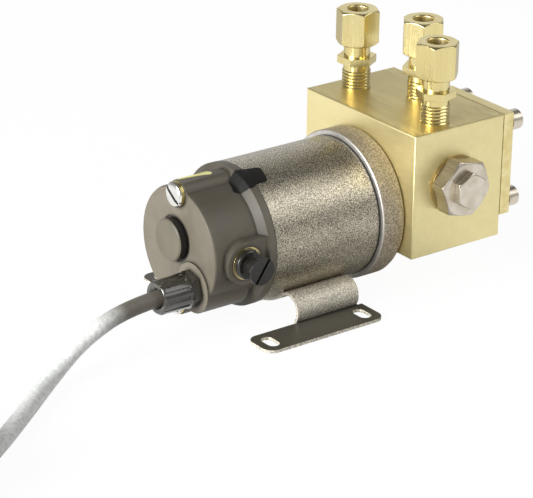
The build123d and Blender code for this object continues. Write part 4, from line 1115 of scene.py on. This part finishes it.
@dataclass
class MotorCase(Assembly):
    """Tube, end cover, front flange, bracket and the bolts that hold them."""

    axis_z: float = 0.0387
    tube_r: float = 0.0345
    flange_r: float = 0.0370
    flange_in_r: float = 0.0300
    flange_x0: float = 0.0447
    sheet_t: float = 0.0016
    fold_y: float = 0.0300
    step_x: float = -0.0455
    head_x: float = -0.0475
    head_r: float = 0.0062
    bolts: tuple[Pair, ...] = ((0.0, 0.0659), (0.0, 0.0115))
    edge: float = 0.00022
    cap_edge: float = 0.00008
    sheet_edge: float = 0.00018
    bolt_edge: float = 0.0002
    label: tuple[Pair, ...] = ((-0.0240, 80.5), (-0.0266, 63.0), (-0.0096, 60.0), (-0.0078, 76.5))
    label_corner: float = 0.0018
    seam_sunk: float = 0.0004
    seam_proud: float = 0.00016
    # Dark rings at the tube's ends: painted shade in the gaps, with the seal rubber finish
    seam_shades: tuple[tuple[str, str, float, float, float], ...] = (
        ("rear_seam_shade", "end_cover", -0.0169, -0.00010, 0.00022),
        ("front_seam_shade", "front_flange", 0.0447, -0.00095, 0.00002),
    )

    def build(self) -> None:
        """Dress the whole case."""
        bench.soft_copy("motor_tube", self.finishes.tube, self.edge)
        self.build_cover()
        self.build_flange()
        self.build_bracket()
        self.build_bolts()
        CoverFilm("blank_label", self.label, self.label_corner).build(self.finishes.sticker)
        RibHighlight().build(self.finishes.yellow_rib_highlight)
        self.build_seam_shades()
        log.info("motor case dressed")

    def build_cover(self) -> None:
        """Dress the end cover and its cap; the cover's steps towards the rear are painted darker as
        shade.
        """
        cover = bench.soft_copy("end_cover", self.finishes.cover, self.edge)

        def is_shaded_step(face: Face) -> bool:
            return face.normal.x < -0.25 and face.calc_center_median().x > self.step_x

        # The steps' darker paint is painted shade
        bench.repaint(cover, self.finishes.cover_step_shade, is_shaded_step)
        rear_cap = bench.soft_copy("rear_cap", self.finishes.cap, self.cap_edge)
        # The cap's side is painted near black as shade
        bench.repaint(rear_cap, self.finishes.cap_side_shade, lambda face: abs(face.normal.x) < 0.5)

    def build_flange(self) -> None:
        """Dress the front flange, with its machined ring behind the tube."""
        flange = bench.soft_copy("front_flange", self.finishes.flange, self.edge)
        axis = [(0.0, self.axis_z)]

        def is_ring(face: Face) -> bool:
            radii = [reach(v.co.y, v.co.z, axis) for v in face.verts]
            at_ring = max(radii) > self.flange_r - 0.0008 and min(radii) > self.flange_in_r
            at_front = face.verts[0].co.x < self.flange_x0 + 0.001
            return face.normal.x < -0.35 and at_ring and at_front

        bench.repaint(flange, self.finishes.machined, is_ring)

    def build_bracket(self) -> None:
        """Dress the bracket, whose feet are rubbed smooth and dark."""
        bracket = bench.soft_copy("mounting_bracket", self.finishes.bracket, self.sheet_edge)

        def is_foot(face: Face) -> bool:
            middle = face.calc_center_median()
            low = middle.z < self.sheet_t + 0.0002
            return low and face.normal.z > 0.6 and abs(middle.y) > self.fold_y

        bench.repaint(bracket, self.finishes.foot, is_foot)

    def build_bolts(self) -> None:
        """Dress the long bolts, with bright heads, a yellow passivated rim and slots painted dark as
        shade.
        """
        bolts = bench.soft_copy("through_bolts", self.finishes.zinc, self.bolt_edge)

        def is_rim(face: Face) -> bool:
            middle = face.calc_center_median()
            outer = reach(middle.y, middle.z, self.bolts) > self.head_r - 0.0006
            return abs(face.normal.x) < 0.35 and middle.x < self.head_x and outer

        def is_slot(face: Face) -> bool:
            middle = face.calc_center_median()
            inner = reach(middle.y, middle.z, self.bolts) < self.head_r - 0.0004
            return abs(face.normal.x) < 0.5 and middle.x < self.head_x and inner

        bench.repaint(bolts, self.finishes.yellow_zinc, is_rim)
        # The slots' dark paint is painted shade
        bench.repaint(bolts, self.finishes.slot_shade, is_slot)

    def build_seam_shades(self) -> None:
        """Turn the dark rings at both ends of the tube, painted shade for the gaps there."""
        inner, outer = self.tube_r - self.seam_sunk, self.tube_r + self.seam_proud
        for name, slot, x, low, high in self.seam_shades:
            outline = [(inner, low), (outer, low), (outer, high), (inner, high)]
            ring = bench.lathe(name, outline, (x, 0.0, self.axis_z), Axis.X, 96)
            bench.finish(ring, self.finishes.rubber)


@dataclass
class BrushGear(Assembly):
    """Sleeves and screwed caps that hold the brushes."""

    cap_edge: float = 0.00022
    ring_edge: float = 0.00010

    def build(self) -> None:
        """Dress the brush holders."""
        bench.soft_copy("brush_sleeves", self.finishes.bright_brass, self.ring_edge)
        bench.soft_copy("brush_caps", self.finishes.cap_plastic, self.cap_edge)
        log.info("brush gear dressed")


@dataclass
class PumpHead(Assembly):
    """Brass block with its cover plate, screws, plugs and washers."""

    edge: float = 0.00030
    screw_edge: float = 0.00016
    plug_edge: float = 0.00028
    washer_edge: float = 0.00012

    def build(self) -> None:
        """Dress the pump head."""
        bench.soft_copy("pump_block", self.finishes.brass, self.edge, dissolve=False)
        bench.soft_copy("cover_plate", self.finishes.plate_brass, self.edge)
        bench.soft_copy("plate_screws", self.finishes.nickel, self.screw_edge)
        bench.soft_copy("valve_plugs", self.finishes.nickel, self.plug_edge)
        bench.soft_copy("plug_caps", self.finishes.nickel, self.plug_edge)
        bench.soft_copy("plug_washers", self.finishes.dull_copper, self.washer_edge)
        log.info("pump head dressed")


@dataclass
class Fittings(Assembly):
    """Tube fittings on the top of the block, with their threads."""

    places: tuple[Pair, ...] = ((0.0796, 0.03025), (0.0960, 0.0), (0.0796, -0.03025))
    block_top: float = 0.0830
    bore_r: float = 0.0070
    thread_r: float = 0.0066
    thread_lift: float = 0.0002
    sunk: float = 0.0008
    groove: float = 0.00003
    pitch: float = 0.00165
    ridges: int = 6
    ridge: float = 0.00050
    body_edge: float = 0.00022
    nut_edge: float = 0.00032

    def thread_outline(self) -> list[Pair]:
        """Outline of the threaded stretch, crest by crest.

        Returns:
            Radius and height of each corner.
        """
        root, crest = self.thread_r + self.groove, self.thread_r + self.ridge
        outline = [(self.thread_r - self.sunk, 0.0)]
        for k in range(self.ridges):
            for radius, share in ((root, 0.05), (crest, 0.38), (crest, 0.62), (root, 0.95)):
                outline.append((radius, k * self.pitch + share * self.pitch))
        outline.append((self.thread_r - self.sunk, self.ridges * self.pitch))
        return outline

    def build(self) -> None:
        """Dress the fittings."""
        bench.soft_copy("fitting_bodies", self.finishes.bright_brass, self.body_edge)
        nuts = bench.soft_copy("fitting_nuts", self.finishes.bright_brass, self.nut_edge, 3)

        def off_centre(face: Face) -> float:
            middle = face.calc_center_median()
            return reach(middle.x, middle.y, self.places)

        def is_bore(face: Face) -> bool:
            return abs(face.normal.z) < 0.5 and off_centre(face) < self.bore_r

        bench.repaint(nuts, self.finishes.pale_brass, is_bore)
        foot = self.block_top + self.thread_lift
        rings = [
            bench.lathe("thread_%d" % k, self.thread_outline(), (x, y, foot), Axis.Z, 48)
            for k, (x, y) in enumerate(self.places)
        ]
        threads = bench.join(rings, "fitting_threads")
        bench.finish(threads, self.finishes.bright_brass)

        # The thread grooves get a darker brass: painted shade in the grooves
        def is_groove(face: Face) -> bool:
            return off_centre(face) < self.thread_r + 0.4 * self.ridge

        bench.repaint(threads, self.finishes.groove_brass, is_groove)
        log.info("fittings dressed with %d threads", len(rings))


@dataclass
class Gland(Assembly):
    """Cord gland with its ribbed nut."""

    edge: float = 0.00022

    def build(self) -> None:
        """Dress the gland."""
        bench.soft_copy("gland_body", self.finishes.gloss_black, self.edge)
        bench.soft_copy("gland_nut", self.finishes.gloss_black, self.edge)
        log.info("gland dressed")


def dress_rest(finishes: Finishes) -> None:
    """Give every CAD node that stays as it is its finish."""
    plain: tuple[tuple[Material, tuple[str, ...]], ...] = (
        (finishes.steel, (
            "motor_shaft", "front_bearing", "drive_gear", "driven_gear", "idler_pin",
            "shuttle_piston", "valve_seats", "check_poppet_near", "check_poppet_far",
            "relief_ball_near", "relief_ball_far",
        )),
        (finishes.spring_steel, (
            "brush_springs", "flange_screws", "check_spring_near", "check_spring_far",
            "relief_spring_near", "relief_spring_far",
        )),
        (finishes.rubber, ("shaft_seal", "flange_seal", "plate_seal", "gland_seal")),
        (finishes.bronze, ("rear_bearing", "bush_plate")),
        (finishes.carbon, ("carbon_brushes",)),
        (finishes.ferrite, ("magnets",)),
        (finishes.laminate, ("armature_core",)),
        (finishes.varnish_wire, ("armature_windings",)),
        (finishes.copper, ("commutator",)),
        (finishes.bright_brass, ("fitting_olives",)),
    )
    for material, nodes in plain:
        for node in nodes:
            paint_node(node, material)


def main() -> None:
    """Build the studio and every piece of the pump."""
    Studio().build()
    finishes = Finishes()
    for assembly in (MotorCase, BrushGear, PumpHead, Fittings, Gland, Cord):
        assembly(finishes).build()
    dress_rest(finishes)


if __name__ == "__main__":
    main()
